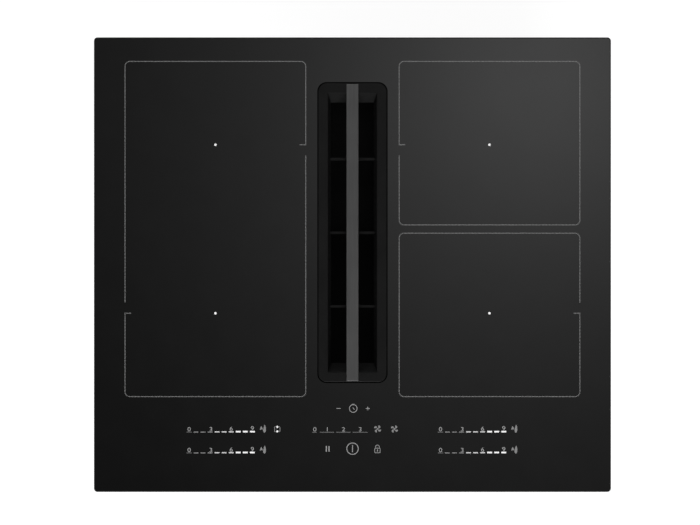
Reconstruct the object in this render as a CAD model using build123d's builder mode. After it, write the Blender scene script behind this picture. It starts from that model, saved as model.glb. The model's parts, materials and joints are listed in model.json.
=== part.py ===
from build123d import *
import os
from math import cos, radians, sin

# Vented induction cooktop, in millimetres.
# The origin is the centre of the glass on the worktop's surface. +X is right, +Y is the rear, +Z is up.

# Glass plate, worktop seal and the cut-out that the casing drops through
GLASS_WIDTH = 580
GLASS_DEPTH = 510
GLASS_THICKNESS = 4
GLASS_CORNER = 4
GLASS_BEVEL = 1.2
RIM_OVERLAP = 10
SEAL_THICKNESS = 2
SEAL_INSET = 1.5
SEAL_EDGE_GAP = 1

# Air slot in the glass
SLOT_WIDTH = 79
SLOT_LENGTH = 337.6
SLOT_CORNER = 10.5
SLOT_Y = 36

# Inlet grille: a flat rim, a funnel, cross ribs and posts that carry the bar
GRILLE_GAP = 1.3
RIM_BAND = 10.4
RIM_ROUND = 0.8
FUNNEL_DEPTH = 24
FUNNEL_WALL = 2
FUNNEL_SIDE_RUN = 3.8
FUNNEL_END_RUN = 10.2
RIB_COUNT = 3
RIB_PITCH = 83
RIB_THICKNESS = 2.8
RIB_HEIGHT = 7
RIB_ROOT = 1.6
POST_RADIUS = 4

# Centre bar and its screws
BAR_WIDTH = 13.3
BAR_THICKNESS = 3
BAR_PROUD = 0.4
BAR_END_GAP = 1
BAR_FIT = 0.15
BAR_ROUND = 0.6
BAR_HOLE_DEPTH = 2
BAR_SCREW_RADIUS = 1.5
BAR_SCREW_HEAD_RADIUS = 2.7
BAR_SCREW_HEAD = 2
BAR_SCREW_RECESS = 3
SCREW_CLEARANCE = 0.1

# Air well under the glass
WELL_LEDGE = 5
WELL_FLANGE = 14
WELL_FLANGE_THICKNESS = 3
WELL_WALL = 2.2
WELL_CORNER = 5
WELL_PASS_GAP = 1
SHELF_WIDTH = 44
SHELF_DEPTH = 6
SHELF_THICKNESS = 3

# Filter cassette and its two grease filters
CASSETTE_GAP = 3.5
CASSETTE_TOP_GAP = 1
CASSETTE_RIM = 3
CASSETTE_HEIGHT = 98
CASSETTE_WALL = 2
CASSETTE_CORNER = 4
EAR_WIDTH = 36
EAR_GAP = 1
WINDOW_COUNT = 3
WINDOW_POST = 10
WINDOW_SILL = 12
WINDOW_DROP = 4
FILTER_THICKNESS = 4
FILTER_FRAME = 6
FILTER_MESH = 2.4
FILTER_END_GAP = 0.5

# Sheet steel casing of the induction unit
CASE_CLEARANCE = 5
CASE_HEIGHT = 54
CASE_CORNER = 10
CASE_BEND = 3
SHEET = 1
CASE_FLANGE = 12
CASE_BEAD_COUNT = 3
CASE_BEAD_PITCH = 44
CASE_BEAD_LENGTH = 210
CASE_BEAD_WIDTH = 14
CASE_BEAD_DEPTH = 1.5
CASE_VENT_LENGTH = 22
CASE_VENT_WIDTH = 4
CASE_VENT_PITCH = 32
CASE_VENT_COUNT = 9
CLAMP_HOLE_RADIUS = 2.1
CLAMP_HOLE_INSET_X = 14
CLAMP_HOLE_INSET_Y = 40

# Induction coils, each with its mica sheet, ferrites, carrier, posts and sensor
COIL_WELL_GAP = 9
COIL_CASE_GAP = 16.5
COIL_REAR_GAP = 5.5
COIL_CONTROL_GAP = 12.5
COIL_ROW_GAP = 13
COIL_CORNER = 45
COIL_EYE = 54
COIL_EYE_CORNER = 20
COIL_THICKNESS = 4.6
MICA_THICKNESS = 0.8
FERRITE_COUNT = 8
FERRITE_EYE_GAP = 4
FERRITE_EDGE_GAP = 5
FERRITE_WIDTH = 12
FERRITE_THICKNESS = 4
CARRIER_MARGIN = 2
CARRIER_THICKNESS = 1.5
SENSOR_RADIUS = 6
SENSOR_BASE_RADIUS = 11
SENSOR_BASE = 3
COIL_POST_RADIUS = 4
COIL_POST_INSET = 10

# Power electronics
BOARD_LENGTH = 290
BOARD_POST_GAP = 12
BOARD_FAN_GAP = 27
BOARD_THICKNESS = 1.6
BOARD_FOOT = 5
BOARD_FOOT_RADIUS = 4
BOARD_FOOT_INSET = 8
CAPACITOR_SIZE = (28, 18, 24)
CAPACITOR_COUNT = 4
CAPACITOR_PITCH = 44
CAPACITOR_INSET = 8
CHOKE_RADIUS = 15
CHOKE_HEIGHT = 18
SINK_INSET = 12
SINK_WIDTH = 46
SINK_LENGTH = 210
SINK_HEIGHT = 28
SINK_BASE = 5
SINK_FIN = 1.6
SINK_FIN_COUNT = 8

# Electronics cooling fans
FAN_INSET_X = 75
FAN_INSET_Y = 48
FAN_SIZE = 80
FAN_HEIGHT = 25
FAN_CORNER = 5
FAN_BORE_RADIUS = 38
FAN_TIP_GAP = 1.2
FAN_HUB_RADIUS = 16
FAN_HUB_HEIGHT = 17
FAN_HUB_GAP = 0.3
FAN_BASE = 4
FAN_STRUT_COUNT = 3
FAN_STRUT_ROOT = 2
FAN_PIN_RADIUS = 2
FAN_PIN_HEIGHT = 10
FAN_BLADE_COUNT = 7
FAN_BLADE_THICKNESS = 1.4
FAN_BLADE_CHORD = 16
FAN_BLADE_PITCH = 40
FAN_BLADE_ROOT = 1
FAN_SLOT_WIDTH = 4.5
FAN_SLOT_PITCH = 9
FAN_SLOT_COUNT = 7
FAN_SLOT_LENGTH = 64
RUNNING_CLEARANCE = 0.06

# Touch control unit under the front of the glass
CONTROL_WIDTH = 400
CONTROL_DEPTH = 62
CONTROL_INSET = 69
CONTROL_HEIGHT = 10
CONTROL_DROP = 6
CONTROL_WALL = 2
CONTROL_BOARD_GAP = 0.3
CONTROL_LEG_RADIUS = 4
CONTROL_LEG_PITCH_X = 240
CONTROL_LEG_PITCH_Y = 44
TOUCH_RADIUS = 3
TOUCH_ROWS = 2
TOUCH_COLUMNS = 9
TOUCH_PITCH_X = 42
TOUCH_PITCH_Y = 23

# Mains terminal box under the casing
TERMINAL_INSET_X = 85
TERMINAL_INSET_Y = 52
TERMINAL_WIDTH = 96
TERMINAL_DEPTH = 60
TERMINAL_HEIGHT = 30
TERMINAL_WALL = 2.5
TERMINAL_CORNER = 4
TERMINAL_POLES = 5
TERMINAL_POLE_PITCH = 14
TERMINAL_BLOCK_DEPTH = 20
TERMINAL_BLOCK_HEIGHT = 15
TERMINAL_SCREW_RADIUS = 3
COVER_THICKNESS = 2
HINGE_PIN_RADIUS = 1.5
HINGE_KNUCKLE_RADIUS = 3.2
HINGE_GAP = 0.8
HINGE_LUG = 5
HINGE_KNUCKLE_LENGTH = 14
GLAND_BORE_RADIUS = 7
GLAND_RADIUS = 10
GLAND_FLANGE_RADIUS = 13
GLAND_FLANGE = 3
GLAND_FLAT_COUNT = 6
GLAND_CHAMFER = 1
GLAND_LENGTH = 20
GLAND_FIT = 0.1

# Ventilation housing under the casing
PLENUM_SEAL = 2
PLENUM_SEAL_WIDTH = 8
PLENUM_SEAL_GAP = 2
PLENUM_HEIGHT = 66
HOUSING_WALL = 2.5
HOUSING_FLANGE = 8
HOUSING_FLANGE_THICKNESS = 3
HOUSING_CORNER = 16
HOUSING_ROUND = 3
HOUSING_NOSE = 70
PLENUM_SIDE_GAP = 24
PLENUM_END_GAP = 8
HOUSING_SCREW_RADIUS = 2
HOUSING_SCREW_HEAD_RADIUS = 3.3
HOUSING_SCREW_HEAD = 2.4
LEFT_SCREW_COUNT = 4
RIGHT_SCREW_COUNT = 3
CASE_SCREW_PITCH = 100
CASE_SCREW_COUNT = 3
CASE_SCREW_LENGTH = 10
CASE_BOSS_RADIUS = 5
CASE_BOSS_DEPTH = 10

# Overflow tank below the cassette
TANK_WIDTH = 80
TANK_LENGTH = 240
TANK_Y = 16
TANK_WALL = 2.5
TANK_CORNER = 14
TANK_FLANGE = 8
TANK_FLANGE_THICKNESS = 3
TANK_DEPTH = 88
TANK_DRAFT = 3
TANK_BOTTOM_ROUND = 9
TANK_SEAL = 2
TANK_PULL_WIDTH = 70
TANK_PULL_REACH = 9

# Blower: four-arc volute, impeller and motor
VOLUTE_STEP = 6
VOLUTE_RADIUS = 79
VOLUTE_HEIGHT = 90
VOLUTE_FLANGE = 7
VOLUTE_FLANGE_THICKNESS = 3
VOLUTE_SIDE_GAP = 2.5
ARC_SCREW_ANGLES = ((125, 160), (205, 250), (295, 340))
BLOWER_Y = 5
DUCT_WIDTH = 222
DUCT_HEIGHT = 89
DUCT_LENGTH = 28
DIFFUSER_BOW = 18
BELL_RADIUS = 60
BELL_FLARE = 8
BELL_WALL = 2
IMPELLER_RADIUS = 70
IMPELLER_TOP_GAP = 2
IMPELLER_FLOOR_GAP = 7
IMPELLER_PLATE = 2
BLADE_COUNT = 36
BLADE_INNER_RADIUS = 57
BLADE_THICKNESS = 1.2
BLADE_SWEEP = 7
BLADE_BOW = 2.6
IMPELLER_RIM = 6
CUP_FLARE = 12
HUB_RADIUS = 11
HUB_HEIGHT = 14
SHAFT_RADIUS = 4
SHAFT_FIT = 0.02
MOTOR_RADIUS = 36
MOTOR_HEIGHT = 40
MOTOR_GAP = 4
MOTOR_FLANGE_RADIUS = 46
MOTOR_FLANGE = 3
MOTOR_HOLE_RADIUS = 50
MOTOR_PLATE_RADIUS = 60
MOTOR_PLATE = 2.5
MOTOR_VENT_COUNT = 6
MOTOR_VENT_RADIUS = 5
MOTOR_VENT_PITCH_RADIUS = 24
DAMPER_COUNT = 3
DAMPER_RADIUS = 6
DAMPER_HEIGHT = 4
DAMPER_PITCH_RADIUS = 40
FLOOR_RIB_COUNT = 12
FLOOR_RIB_GAP = 1
FLOOR_RIB_LENGTH = 14
FLOOR_RIB_THICKNESS = 2.5

# Longer than any piece, for cuts that go right through
THROUGH = 2 * GLASS_WIDTH

LOW = (Align.CENTER, Align.CENTER, Align.MIN)
HIGH = (Align.CENTER, Align.CENTER, Align.MAX)

# Heights, from the worktop at zero
glass_bottom = SEAL_THICKNESS
glass_top = glass_bottom + GLASS_THICKNESS
case_top = glass_bottom
case_bottom = case_top - CASE_HEIGHT
case_floor = case_bottom + SHEET
roof_top = case_bottom - PLENUM_SEAL
roof_bottom = roof_top - HOUSING_WALL
plenum_bottom = roof_top - PLENUM_HEIGHT
shell_bottom = plenum_bottom - HOUSING_FLANGE_THICKNESS
volute_bottom = shell_bottom - VOLUTE_HEIGHT
volute_floor = volute_bottom + HOUSING_WALL

# Plan sizes that follow from the driving ones
cutout_width = GLASS_WIDTH - 2 * RIM_OVERLAP
cutout_depth = GLASS_DEPTH - 2 * RIM_OVERLAP
case_width = cutout_width - 2 * CASE_CLEARANCE
case_depth = cutout_depth - 2 * CASE_CLEARANCE
grille_width = SLOT_WIDTH - 2 * GRILLE_GAP
grille_length = SLOT_LENGTH - 2 * GRILLE_GAP
opening_width = grille_width - 2 * RIM_BAND
opening_length = grille_length - 2 * RIM_BAND
throat_width = opening_width - 2 * FUNNEL_SIDE_RUN
throat_length = opening_length - 2 * FUNNEL_END_RUN
funnel_bottom = glass_top - FUNNEL_DEPTH
bar_length = grille_length - 2 * BAR_END_GAP
bar_seat = glass_top + BAR_PROUD - BAR_THICKNESS
rib_places = [SLOT_Y + RIB_PITCH * (i - (RIB_COUNT - 1) / 2) for i in range(RIB_COUNT)]
well_width = SLOT_WIDTH - 2 * WELL_LEDGE
well_length = SLOT_LENGTH - 2 * WELL_LEDGE
cassette_width = well_width - 2 * CASSETTE_GAP
cassette_length = well_length - 2 * (SHELF_DEPTH + CASSETTE_GAP)
cassette_top = funnel_bottom - CASSETTE_TOP_GAP
cassette_seat = cassette_top - CASSETTE_RIM
cassette_bottom = cassette_top - CASSETTE_HEIGHT
tank_half = TANK_WIDTH / 2 + TANK_WALL + TANK_FLANGE
tank_end = TANK_LENGTH / 2 + TANK_WALL + TANK_FLANGE
pass_width = well_width + 2 * (WELL_WALL + WELL_PASS_GAP)
pass_length = well_length + 2 * (WELL_WALL + WELL_PASS_GAP)
pass_corner = WELL_CORNER + WELL_WALL + WELL_PASS_GAP

# The volute's four arcs turn about the corners of a small square, so each grows by the square's side
volute_half = VOLUTE_STEP / 2
volute_reach = {
    "rear": VOLUTE_RADIUS - volute_half,
    "left": VOLUTE_RADIUS + volute_half,
    "front": VOLUTE_RADIUS + VOLUTE_STEP + volute_half,
    "right": VOLUTE_RADIUS + 2 * VOLUTE_STEP + volute_half,
}
volute_edge = HOUSING_WALL + VOLUTE_FLANGE
volute_screw_out = HOUSING_WALL + VOLUTE_FLANGE / 2
screw_hole = HOUSING_SCREW_RADIUS + SCREW_CLEARANCE
blower_x = tank_half + VOLUTE_SIDE_GAP + volute_edge + volute_reach["left"]
plenum_left = -(pass_width / 2 + PLENUM_SIDE_GAP + HOUSING_WALL)
plenum_right = blower_x + volute_reach["right"] + HOUSING_WALL
plenum_front = SLOT_Y - pass_length / 2 - PLENUM_END_GAP - HOUSING_WALL
plenum_rear = SLOT_Y + pass_length / 2 + PLENUM_END_GAP + HOUSING_WALL
nose_front = BLOWER_Y - volute_reach["front"] - HOUSING_WALL
duct_right = plenum_right
duct_left = duct_right - DUCT_WIDTH

# The touch control unit lies along the front, the fans and the terminal box near the casing's corners
control_y = CONTROL_INSET - GLASS_DEPTH / 2
fan_x = case_width / 2 - FAN_INSET_X
fan_y = FAN_INSET_Y - case_depth / 2
terminal_x = TERMINAL_INSET_X - case_width / 2
terminal_y = case_depth / 2 - TERMINAL_INSET_Y

# The coils fill the space between the air well, the casing's flange and the control unit
sides = (("left", -1), ("right", 1))
coil_inner = SLOT_WIDTH / 2 + WELL_FLANGE + COIL_WELL_GAP
coil_outer = case_width / 2 - CASE_FLANGE - COIL_CASE_GAP
coil_rear = case_depth / 2 - CASE_FLANGE - COIL_REAR_GAP
coil_front = control_y + CONTROL_DEPTH / 2 + COIL_CONTROL_GAP
coil_width = coil_outer - coil_inner
coil_depth = (coil_rear - coil_front - COIL_ROW_GAP) / 2
coil_x = (coil_inner + coil_outer) / 2
coil_places = {
    f"{side}_{end}": (sign * coil_x, y)
    for side, sign in sides
    for end, y in (("rear", coil_rear - coil_depth / 2), ("front", coil_front + coil_depth / 2))
}
carrier_width = coil_width + 2 * CARRIER_MARGIN
carrier_depth = coil_depth + 2 * CARRIER_MARGIN
ferrite_inner = COIL_EYE / 2 + FERRITE_EYE_GAP
ferrite_outer = min(coil_width, coil_depth) / 2 - FERRITE_EDGE_GAP

# Each power board stands between its coils' posts, behind its fan
board_width = carrier_width - 2 * (COIL_POST_INSET + COIL_POST_RADIUS + BOARD_POST_GAP)
board_y = fan_y + FAN_SIZE / 2 + BOARD_FAN_GAP + BOARD_LENGTH / 2

os.makedirs("parts", exist_ok=True)


def write(builder, name):
    """Labels a finished piece and writes it under its own name."""
    builder.part.label = name
    export_step(builder.part, f"parts/{name}.step")


def slot_plane(height):
    """A level plane centred on the air slot."""
    return Plane((0, SLOT_Y, height))


def tank_plane(height):
    """A level plane centred on the overflow tank."""
    return Plane((0, TANK_Y, height))


def plenum_outline(grow):
    """The ventilation housing's plan: a straight box round the cassette and a nose round the blower."""
    corners = {
        (plenum_left, plenum_front): HOUSING_CORNER,
        (-plenum_left, plenum_front): HOUSING_CORNER,
        (-plenum_left, nose_front): HOUSING_CORNER,
        (plenum_right, nose_front): HOUSING_NOSE,
        (plenum_right, plenum_rear): HOUSING_CORNER,
        (plenum_left, plenum_rear): HOUSING_CORNER,
    }
    with BuildSketch() as plan:
        with BuildLine():
            FilletPolyline(*corners, radius=list(corners.values()), close=True)
        make_face()
        if grow:
            offset(amount=grow)
    return plan.sketch


def volute_outline(grow):
    """The volute's air space seen from above, with its diffuser up to the rear wall, grown by a wall."""
    h = volute_half
    tongue = (-h, volute_reach["rear"])
    left = (-volute_reach["left"], -h)
    front = (h, -volute_reach["front"])
    right = (volute_reach["right"], h)
    rear = plenum_rear - BLOWER_Y
    exit_right = (volute_reach["right"], rear)
    exit_left = (duct_left + HOUSING_WALL - blower_x, rear)
    with BuildSketch() as plan:
        with BuildLine():
            RadiusArc(tongue, left, -VOLUTE_RADIUS)
            RadiusArc(left, front, -(VOLUTE_RADIUS + VOLUTE_STEP))
            RadiusArc(front, right, -(VOLUTE_RADIUS + 2 * VOLUTE_STEP))
            Polyline(right, exit_right, exit_left)
            SagittaArc(exit_left, tongue, DIFFUSER_BOW)
        make_face()
        if grow:
            offset(amount=grow)
    return plan.sketch


# Glass plate with a bevelled edge and the slot for the grille
with BuildPart() as glass:
    with BuildSketch(Plane.XY.offset(glass_bottom)):
        RectangleRounded(GLASS_WIDTH, GLASS_DEPTH, GLASS_CORNER)
        with Locations((0, SLOT_Y)):
            RectangleRounded(SLOT_WIDTH, SLOT_LENGTH, SLOT_CORNER, mode=Mode.SUBTRACT)
    extrude(amount=GLASS_THICKNESS)
    chamfer(glass.faces().sort_by(Axis.Z)[-1].outer_wire().edges(), GLASS_BEVEL)
write(glass, "glass_plate")

# Foam seal between the glass rim and the worktop
with BuildPart() as seal:
    with BuildSketch():
        RectangleRounded(GLASS_WIDTH - 2 * SEAL_INSET, GLASS_DEPTH - 2 * SEAL_INSET, GLASS_CORNER)
        Rectangle(cutout_width + 2 * SEAL_EDGE_GAP, cutout_depth + 2 * SEAL_EDGE_GAP, mode=Mode.SUBTRACT)
    extrude(amount=SEAL_THICKNESS)
write(seal, "worktop_seal")

# Air well: bonded under the glass, its ledge carries the grille and its shelves carry the cassette
with BuildPart() as well:
    with BuildSketch(slot_plane(glass_bottom)):
        RectangleRounded(
            SLOT_WIDTH + 2 * WELL_FLANGE, SLOT_LENGTH + 2 * WELL_FLANGE, SLOT_CORNER + WELL_FLANGE
        )
    extrude(amount=-WELL_FLANGE_THICKNESS)
    with BuildSketch(slot_plane(glass_bottom)):
        RectangleRounded(well_width + 2 * WELL_WALL, well_length + 2 * WELL_WALL, WELL_CORNER + WELL_WALL)
    extrude(amount=roof_bottom - glass_bottom)
    with BuildSketch(slot_plane(glass_bottom)):
        RectangleRounded(well_width, well_length, WELL_CORNER)
    extrude(amount=roof_bottom - glass_bottom, mode=Mode.SUBTRACT)
    for end in (-1, 1):
        with Locations((0, SLOT_Y + end * (well_length - SHELF_DEPTH) / 2, cassette_seat)):
            Box(SHELF_WIDTH, SHELF_DEPTH, SHELF_THICKNESS, align=HIGH)
write(well, "air_well")

# Inlet grille: rim, funnel, ribs and screw posts in one moulding
with BuildPart() as grille:
    with BuildSketch(slot_plane(glass_bottom)):
        RectangleRounded(grille_width, grille_length, SLOT_CORNER - GRILLE_GAP)
    extrude(amount=GLASS_THICKNESS)
    fillet(grille.faces().sort_by(Axis.Z)[-1].edges(), RIM_ROUND)
    for wall, mode in ((FUNNEL_WALL, Mode.ADD), (0, Mode.SUBTRACT)):
        with BuildSketch(slot_plane(glass_top)):
            Rectangle(opening_width + 2 * wall, opening_length + 2 * wall)
        with BuildSketch(slot_plane(funnel_bottom)):
            Rectangle(throat_width + 2 * wall, throat_length + 2 * wall)
        loft(mode=mode)
    with Locations(*[(0, y, funnel_bottom) for y in rib_places]):
        Box(throat_width + 2 * RIB_ROOT, RIB_THICKNESS, RIB_HEIGHT, align=LOW)
        Cylinder(POST_RADIUS, bar_seat - funnel_bottom, align=LOW)
    with Locations(*[Location((0, y, funnel_bottom), (180, 0, 0)) for y in rib_places]):
        CounterBoreHole(
            BAR_SCREW_RADIUS + SCREW_CLEARANCE, BAR_SCREW_HEAD_RADIUS + SCREW_CLEARANCE, BAR_SCREW_RECESS
        )
    with Locations((0, SLOT_Y, bar_seat)):
        Box(
            BAR_WIDTH + 2 * BAR_FIT,
            bar_length + 2 * BAR_FIT,
            BAR_THICKNESS,
            align=LOW,
            mode=Mode.SUBTRACT,
        )
write(grille, "inlet_grille")

# Centre bar: a metal strip let into both ends of the rim
with BuildPart() as bar:
    with Locations((0, SLOT_Y, bar_seat)):
        Box(BAR_WIDTH, bar_length, BAR_THICKNESS, align=LOW)
    fillet(bar.faces().sort_by(Axis.Z)[-1].edges(), BAR_ROUND)
    with Locations(*[Location((0, y, bar_seat), (180, 0, 0)) for y in rib_places]):
        Hole(BAR_SCREW_RADIUS + SCREW_CLEARANCE, BAR_HOLE_DEPTH)
write(bar, "centre_bar")

# Screws that hold the bar from below, one through each post
with BuildPart() as bar_screws:
    head_seat = funnel_bottom + BAR_SCREW_RECESS
    with Locations(*[(0, y, head_seat) for y in rib_places]):
        Cylinder(BAR_SCREW_HEAD_RADIUS, BAR_SCREW_HEAD, align=HIGH)
        Cylinder(BAR_SCREW_RADIUS, bar_seat + BAR_HOLE_DEPTH - SCREW_CLEARANCE - head_seat, align=LOW)
write(bar_screws, "bar_screws")

# Filter cassette: a basket with windows in its long sides, hung on the well's shelves by its ears
window_top = roof_bottom - WINDOW_DROP
window_bottom = cassette_bottom + WINDOW_SILL
inner_length = cassette_length - 2 * CASSETTE_WALL
window_length = (inner_length - (WINDOW_COUNT + 1) * WINDOW_POST) / WINDOW_COUNT
with BuildPart() as cassette:
    with BuildSketch(slot_plane(cassette_top)):
        RectangleRounded(cassette_width, cassette_length, CASSETTE_CORNER)
    extrude(amount=-CASSETTE_HEIGHT)
    with Locations((0, SLOT_Y, cassette_top)):
        Box(EAR_WIDTH, well_length - 2 * EAR_GAP, CASSETTE_RIM, align=HIGH)
    with BuildSketch(slot_plane(cassette_top)):
        RectangleRounded(
            cassette_width - 2 * CASSETTE_WALL, inner_length, CASSETTE_CORNER - CASSETTE_WALL
        )
    extrude(amount=CASSETTE_WALL - CASSETTE_HEIGHT, mode=Mode.SUBTRACT)
    with Locations((0, SLOT_Y, window_bottom)):
        with GridLocations(0, window_length + WINDOW_POST, 1, WINDOW_COUNT):
            Box(
                THROUGH,
                window_length,
                window_top - window_bottom,
                align=LOW,
                mode=Mode.SUBTRACT,
            )
write(cassette, "filter_cassette")

# Grease filters: a metal frame round a thinner mesh pad, standing against the cassette's long sides
filter_bottom = cassette_bottom + CASSETTE_WALL
filter_height = window_top + FILTER_FRAME - filter_bottom
filter_length = inner_length - 2 * (CASSETTE_CORNER - CASSETTE_WALL + FILTER_END_GAP)
for side, sign in sides:
    centre = sign * (cassette_width / 2 - CASSETTE_WALL - FILTER_THICKNESS / 2)
    with BuildPart() as grease_filter:
        with Locations((centre, SLOT_Y, filter_bottom)):
            Box(FILTER_THICKNESS, filter_length, filter_height, align=LOW)
        for face in (-1, 1):
            with Locations((centre + face * FILTER_THICKNESS / 2, SLOT_Y, filter_bottom + FILTER_FRAME)):
                Box(
                    FILTER_THICKNESS - FILTER_MESH,
                    filter_length - 2 * FILTER_FRAME,
                    filter_height - 2 * FILTER_FRAME,
                    align=LOW,
                    mode=Mode.SUBTRACT,
                )
    write(grease_filter, f"grease_filter_{side}")

# Sheet steel casing: a tub bonded under the glass, with pressed beads, vents and a hole for the air well
case_screw_x = pass_width / 2 + 2 * PLENUM_SEAL_GAP + PLENUM_SEAL_WIDTH + CASE_BOSS_RADIUS
case_screw_places = [
    (sign * case_screw_x, SLOT_Y + CASE_SCREW_PITCH * (i - (CASE_SCREW_COUNT - 1) / 2))
    for _, sign in sides
    for i in range(CASE_SCREW_COUNT)
]
clamp_hole_x = case_width / 2 - CLAMP_HOLE_INSET_X
clamp_hole_y = case_depth / 2 - CLAMP_HOLE_INSET_Y
bead_x = (plenum_left - HOUSING_FLANGE - case_width / 2) / 2
with BuildPart() as casing:
    with BuildSketch(Plane.XY.offset(case_top)):
        RectangleRounded(case_width, case_depth, CASE_CORNER)
    extrude(amount=-CASE_HEIGHT)
    fillet(casing.faces().sort_by(Axis.Z)[0].edges(), CASE_BEND)
    offset(amount=-SHEET, openings=casing.faces().sort_by(Axis.Z)[-1])
    with BuildSketch(Plane.XY.offset(case_top)):
        RectangleRounded(case_width, case_depth, CASE_CORNER)
        Rectangle(case_width - 2 * CASE_FLANGE, case_depth - 2 * CASE_FLANGE, mode=Mode.SUBTRACT)
    extrude(amount=-SHEET)
    for inset, top, mode in ((0, case_bottom, Mode.ADD), (SHEET, case_floor, Mode.SUBTRACT)):
        with BuildSketch(Plane.XY.offset(top)):
            with Locations((bead_x, 0)):
                with GridLocations(CASE_BEAD_PITCH, 0, CASE_BEAD_COUNT, 1):
                    SlotOverall(CASE_BEAD_LENGTH - 2 * inset, CASE_BEAD_WIDTH - 2 * inset, rotation=90)
        extrude(amount=-CASE_BEAD_DEPTH, mode=mode)
    with BuildSketch(slot_plane(case_bottom)):
        RectangleRounded(pass_width, pass_length, pass_corner)
    extrude(amount=SHEET, mode=Mode.SUBTRACT)
    with BuildSketch(Plane.XY.offset(case_bottom)):
        for _, sign in sides:
            with Locations((sign * fan_x, fan_y)):
                with GridLocations(0, FAN_SLOT_PITCH, 1, FAN_SLOT_COUNT):
                    SlotOverall(FAN_SLOT_LENGTH, FAN_SLOT_WIDTH)
        with GridLocations(2 * clamp_hole_x, 2 * clamp_hole_y, 2, 2):
            Circle(CLAMP_HOLE_RADIUS)
        with Locations(*case_screw_places):
            Circle(screw_hole)
    extrude(amount=SHEET, mode=Mode.SUBTRACT)
    with BuildSketch(Plane.YZ):
        with Locations(((coil_front + coil_rear) / 2, (case_top + case_bottom) / 2)):
            with GridLocations(CASE_VENT_PITCH, 0, CASE_VENT_COUNT, 1):
                SlotOverall(CASE_VENT_LENGTH, CASE_VENT_WIDTH, rotation=90)
    extrude(amount=THROUGH, both=True, mode=Mode.SUBTRACT)
write(casing, "base_casing")

# Coil stacks, from the glass down: mica sheet, coil, ferrites, carrier
coil_top = glass_bottom - MICA_THICKNESS
coil_bottom = coil_top - COIL_THICKNESS
carrier_top = coil_bottom - FERRITE_THICKNESS
carrier_bottom = carrier_top - CARRIER_THICKNESS
for place, (x, y) in coil_places.items():
    with BuildPart() as mica:
        with BuildSketch(Plane((x, y, coil_top))):
            RectangleRounded(coil_width, coil_depth, COIL_CORNER)
            Circle(SENSOR_BASE_RADIUS, mode=Mode.SUBTRACT)
        extrude(amount=MICA_THICKNESS)
    write(mica, f"mica_sheet_{place}")

    with BuildPart() as coil:
        with BuildSketch(Plane((x, y, coil_bottom))):
            RectangleRounded(coil_width, coil_depth, COIL_CORNER)
            RectangleRounded(COIL_EYE, COIL_EYE, COIL_EYE_CORNER, mode=Mode.SUBTRACT)
        extrude(amount=COIL_THICKNESS)
    write(coil, f"coil_{place}")

    with BuildPart() as ferrites:
        with Locations((x, y, carrier_top)):
            ferrite_circle = (ferrite_inner + ferrite_outer) / 2
            with PolarLocations(ferrite_circle, FERRITE_COUNT, start_angle=180 / FERRITE_COUNT):
                Box(ferrite_outer - ferrite_inner, FERRITE_WIDTH, FERRITE_THICKNESS, align=LOW)
    write(ferrites, f"ferrites_{place}")

    with BuildPart() as carrier:
        with BuildSketch(Plane((x, y, carrier_bottom))):
            RectangleRounded(carrier_width, carrier_depth, CASE_CORNER)
        extrude(amount=CARRIER_THICKNESS)
    write(carrier, f"coil_carrier_{place}")

    with BuildPart() as sensor:
        with Locations((x, y, carrier_top)):
            Cylinder(SENSOR_BASE_RADIUS, SENSOR_BASE, align=LOW)
            Cylinder(SENSOR_RADIUS, glass_bottom - carrier_top, align=LOW)
    write(sensor, f"temperature_sensor_{place}")

# Sprung posts between the casing floor and the four coil carriers
with BuildPart() as coil_posts:
    for x, y in coil_places.values():
        with Locations((x, y, case_floor)):
            with GridLocations(
                carrier_width - 2 * COIL_POST_INSET, carrier_depth - 2 * COIL_POST_INSET, 2, 2
            ):
                Cylinder(COIL_POST_RADIUS, carrier_bottom - case_floor, align=LOW)
write(coil_posts, "coil_posts")

# Power boards with capacitors and chokes, and the finned heat sinks that stand on them
board_bottom = case_floor + BOARD_FOOT
board_top = board_bottom + BOARD_THICKNESS
for side, sign in sides:
    x = sign * coil_x
    sink_x = x - sign * ((board_width - SINK_WIDTH) / 2 - SINK_INSET)
    part_x = x + sign * ((board_width - CAPACITOR_SIZE[0]) / 2 - CAPACITOR_INSET)
    with BuildPart() as board:
        with Locations((x, board_y, board_bottom)):
            Box(board_width, BOARD_LENGTH, BOARD_THICKNESS, align=LOW)
            with GridLocations(
                board_width - 2 * BOARD_FOOT_INSET, BOARD_LENGTH - 2 * BOARD_FOOT_INSET, 2, 2
            ):
                Cylinder(BOARD_FOOT_RADIUS, BOARD_FOOT, align=HIGH)
        with Locations((part_x, board_y, board_top)):
            with GridLocations(0, CAPACITOR_PITCH, 1, CAPACITOR_COUNT):
                Box(*CAPACITOR_SIZE, align=LOW)
            with GridLocations(0, CAPACITOR_COUNT * CAPACITOR_PITCH + 2 * CHOKE_RADIUS, 1, 2):
                Cylinder(CHOKE_RADIUS, CHOKE_HEIGHT, align=LOW)
    write(board, f"power_board_{side}")

    with BuildPart() as sink:
        with Locations((sink_x, board_y, board_top)):
            Box(SINK_WIDTH, SINK_LENGTH, SINK_BASE, align=LOW)
        fin_pitch = (SINK_WIDTH - SINK_FIN) / (SINK_FIN_COUNT - 1)
        with Locations((sink_x, board_y, board_top)):
            with GridLocations(fin_pitch, 0, SINK_FIN_COUNT, 1):
                Box(SINK_FIN, SINK_LENGTH, SINK_HEIGHT, align=LOW)
    write(sink, f"heat_sink_{side}")

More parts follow.
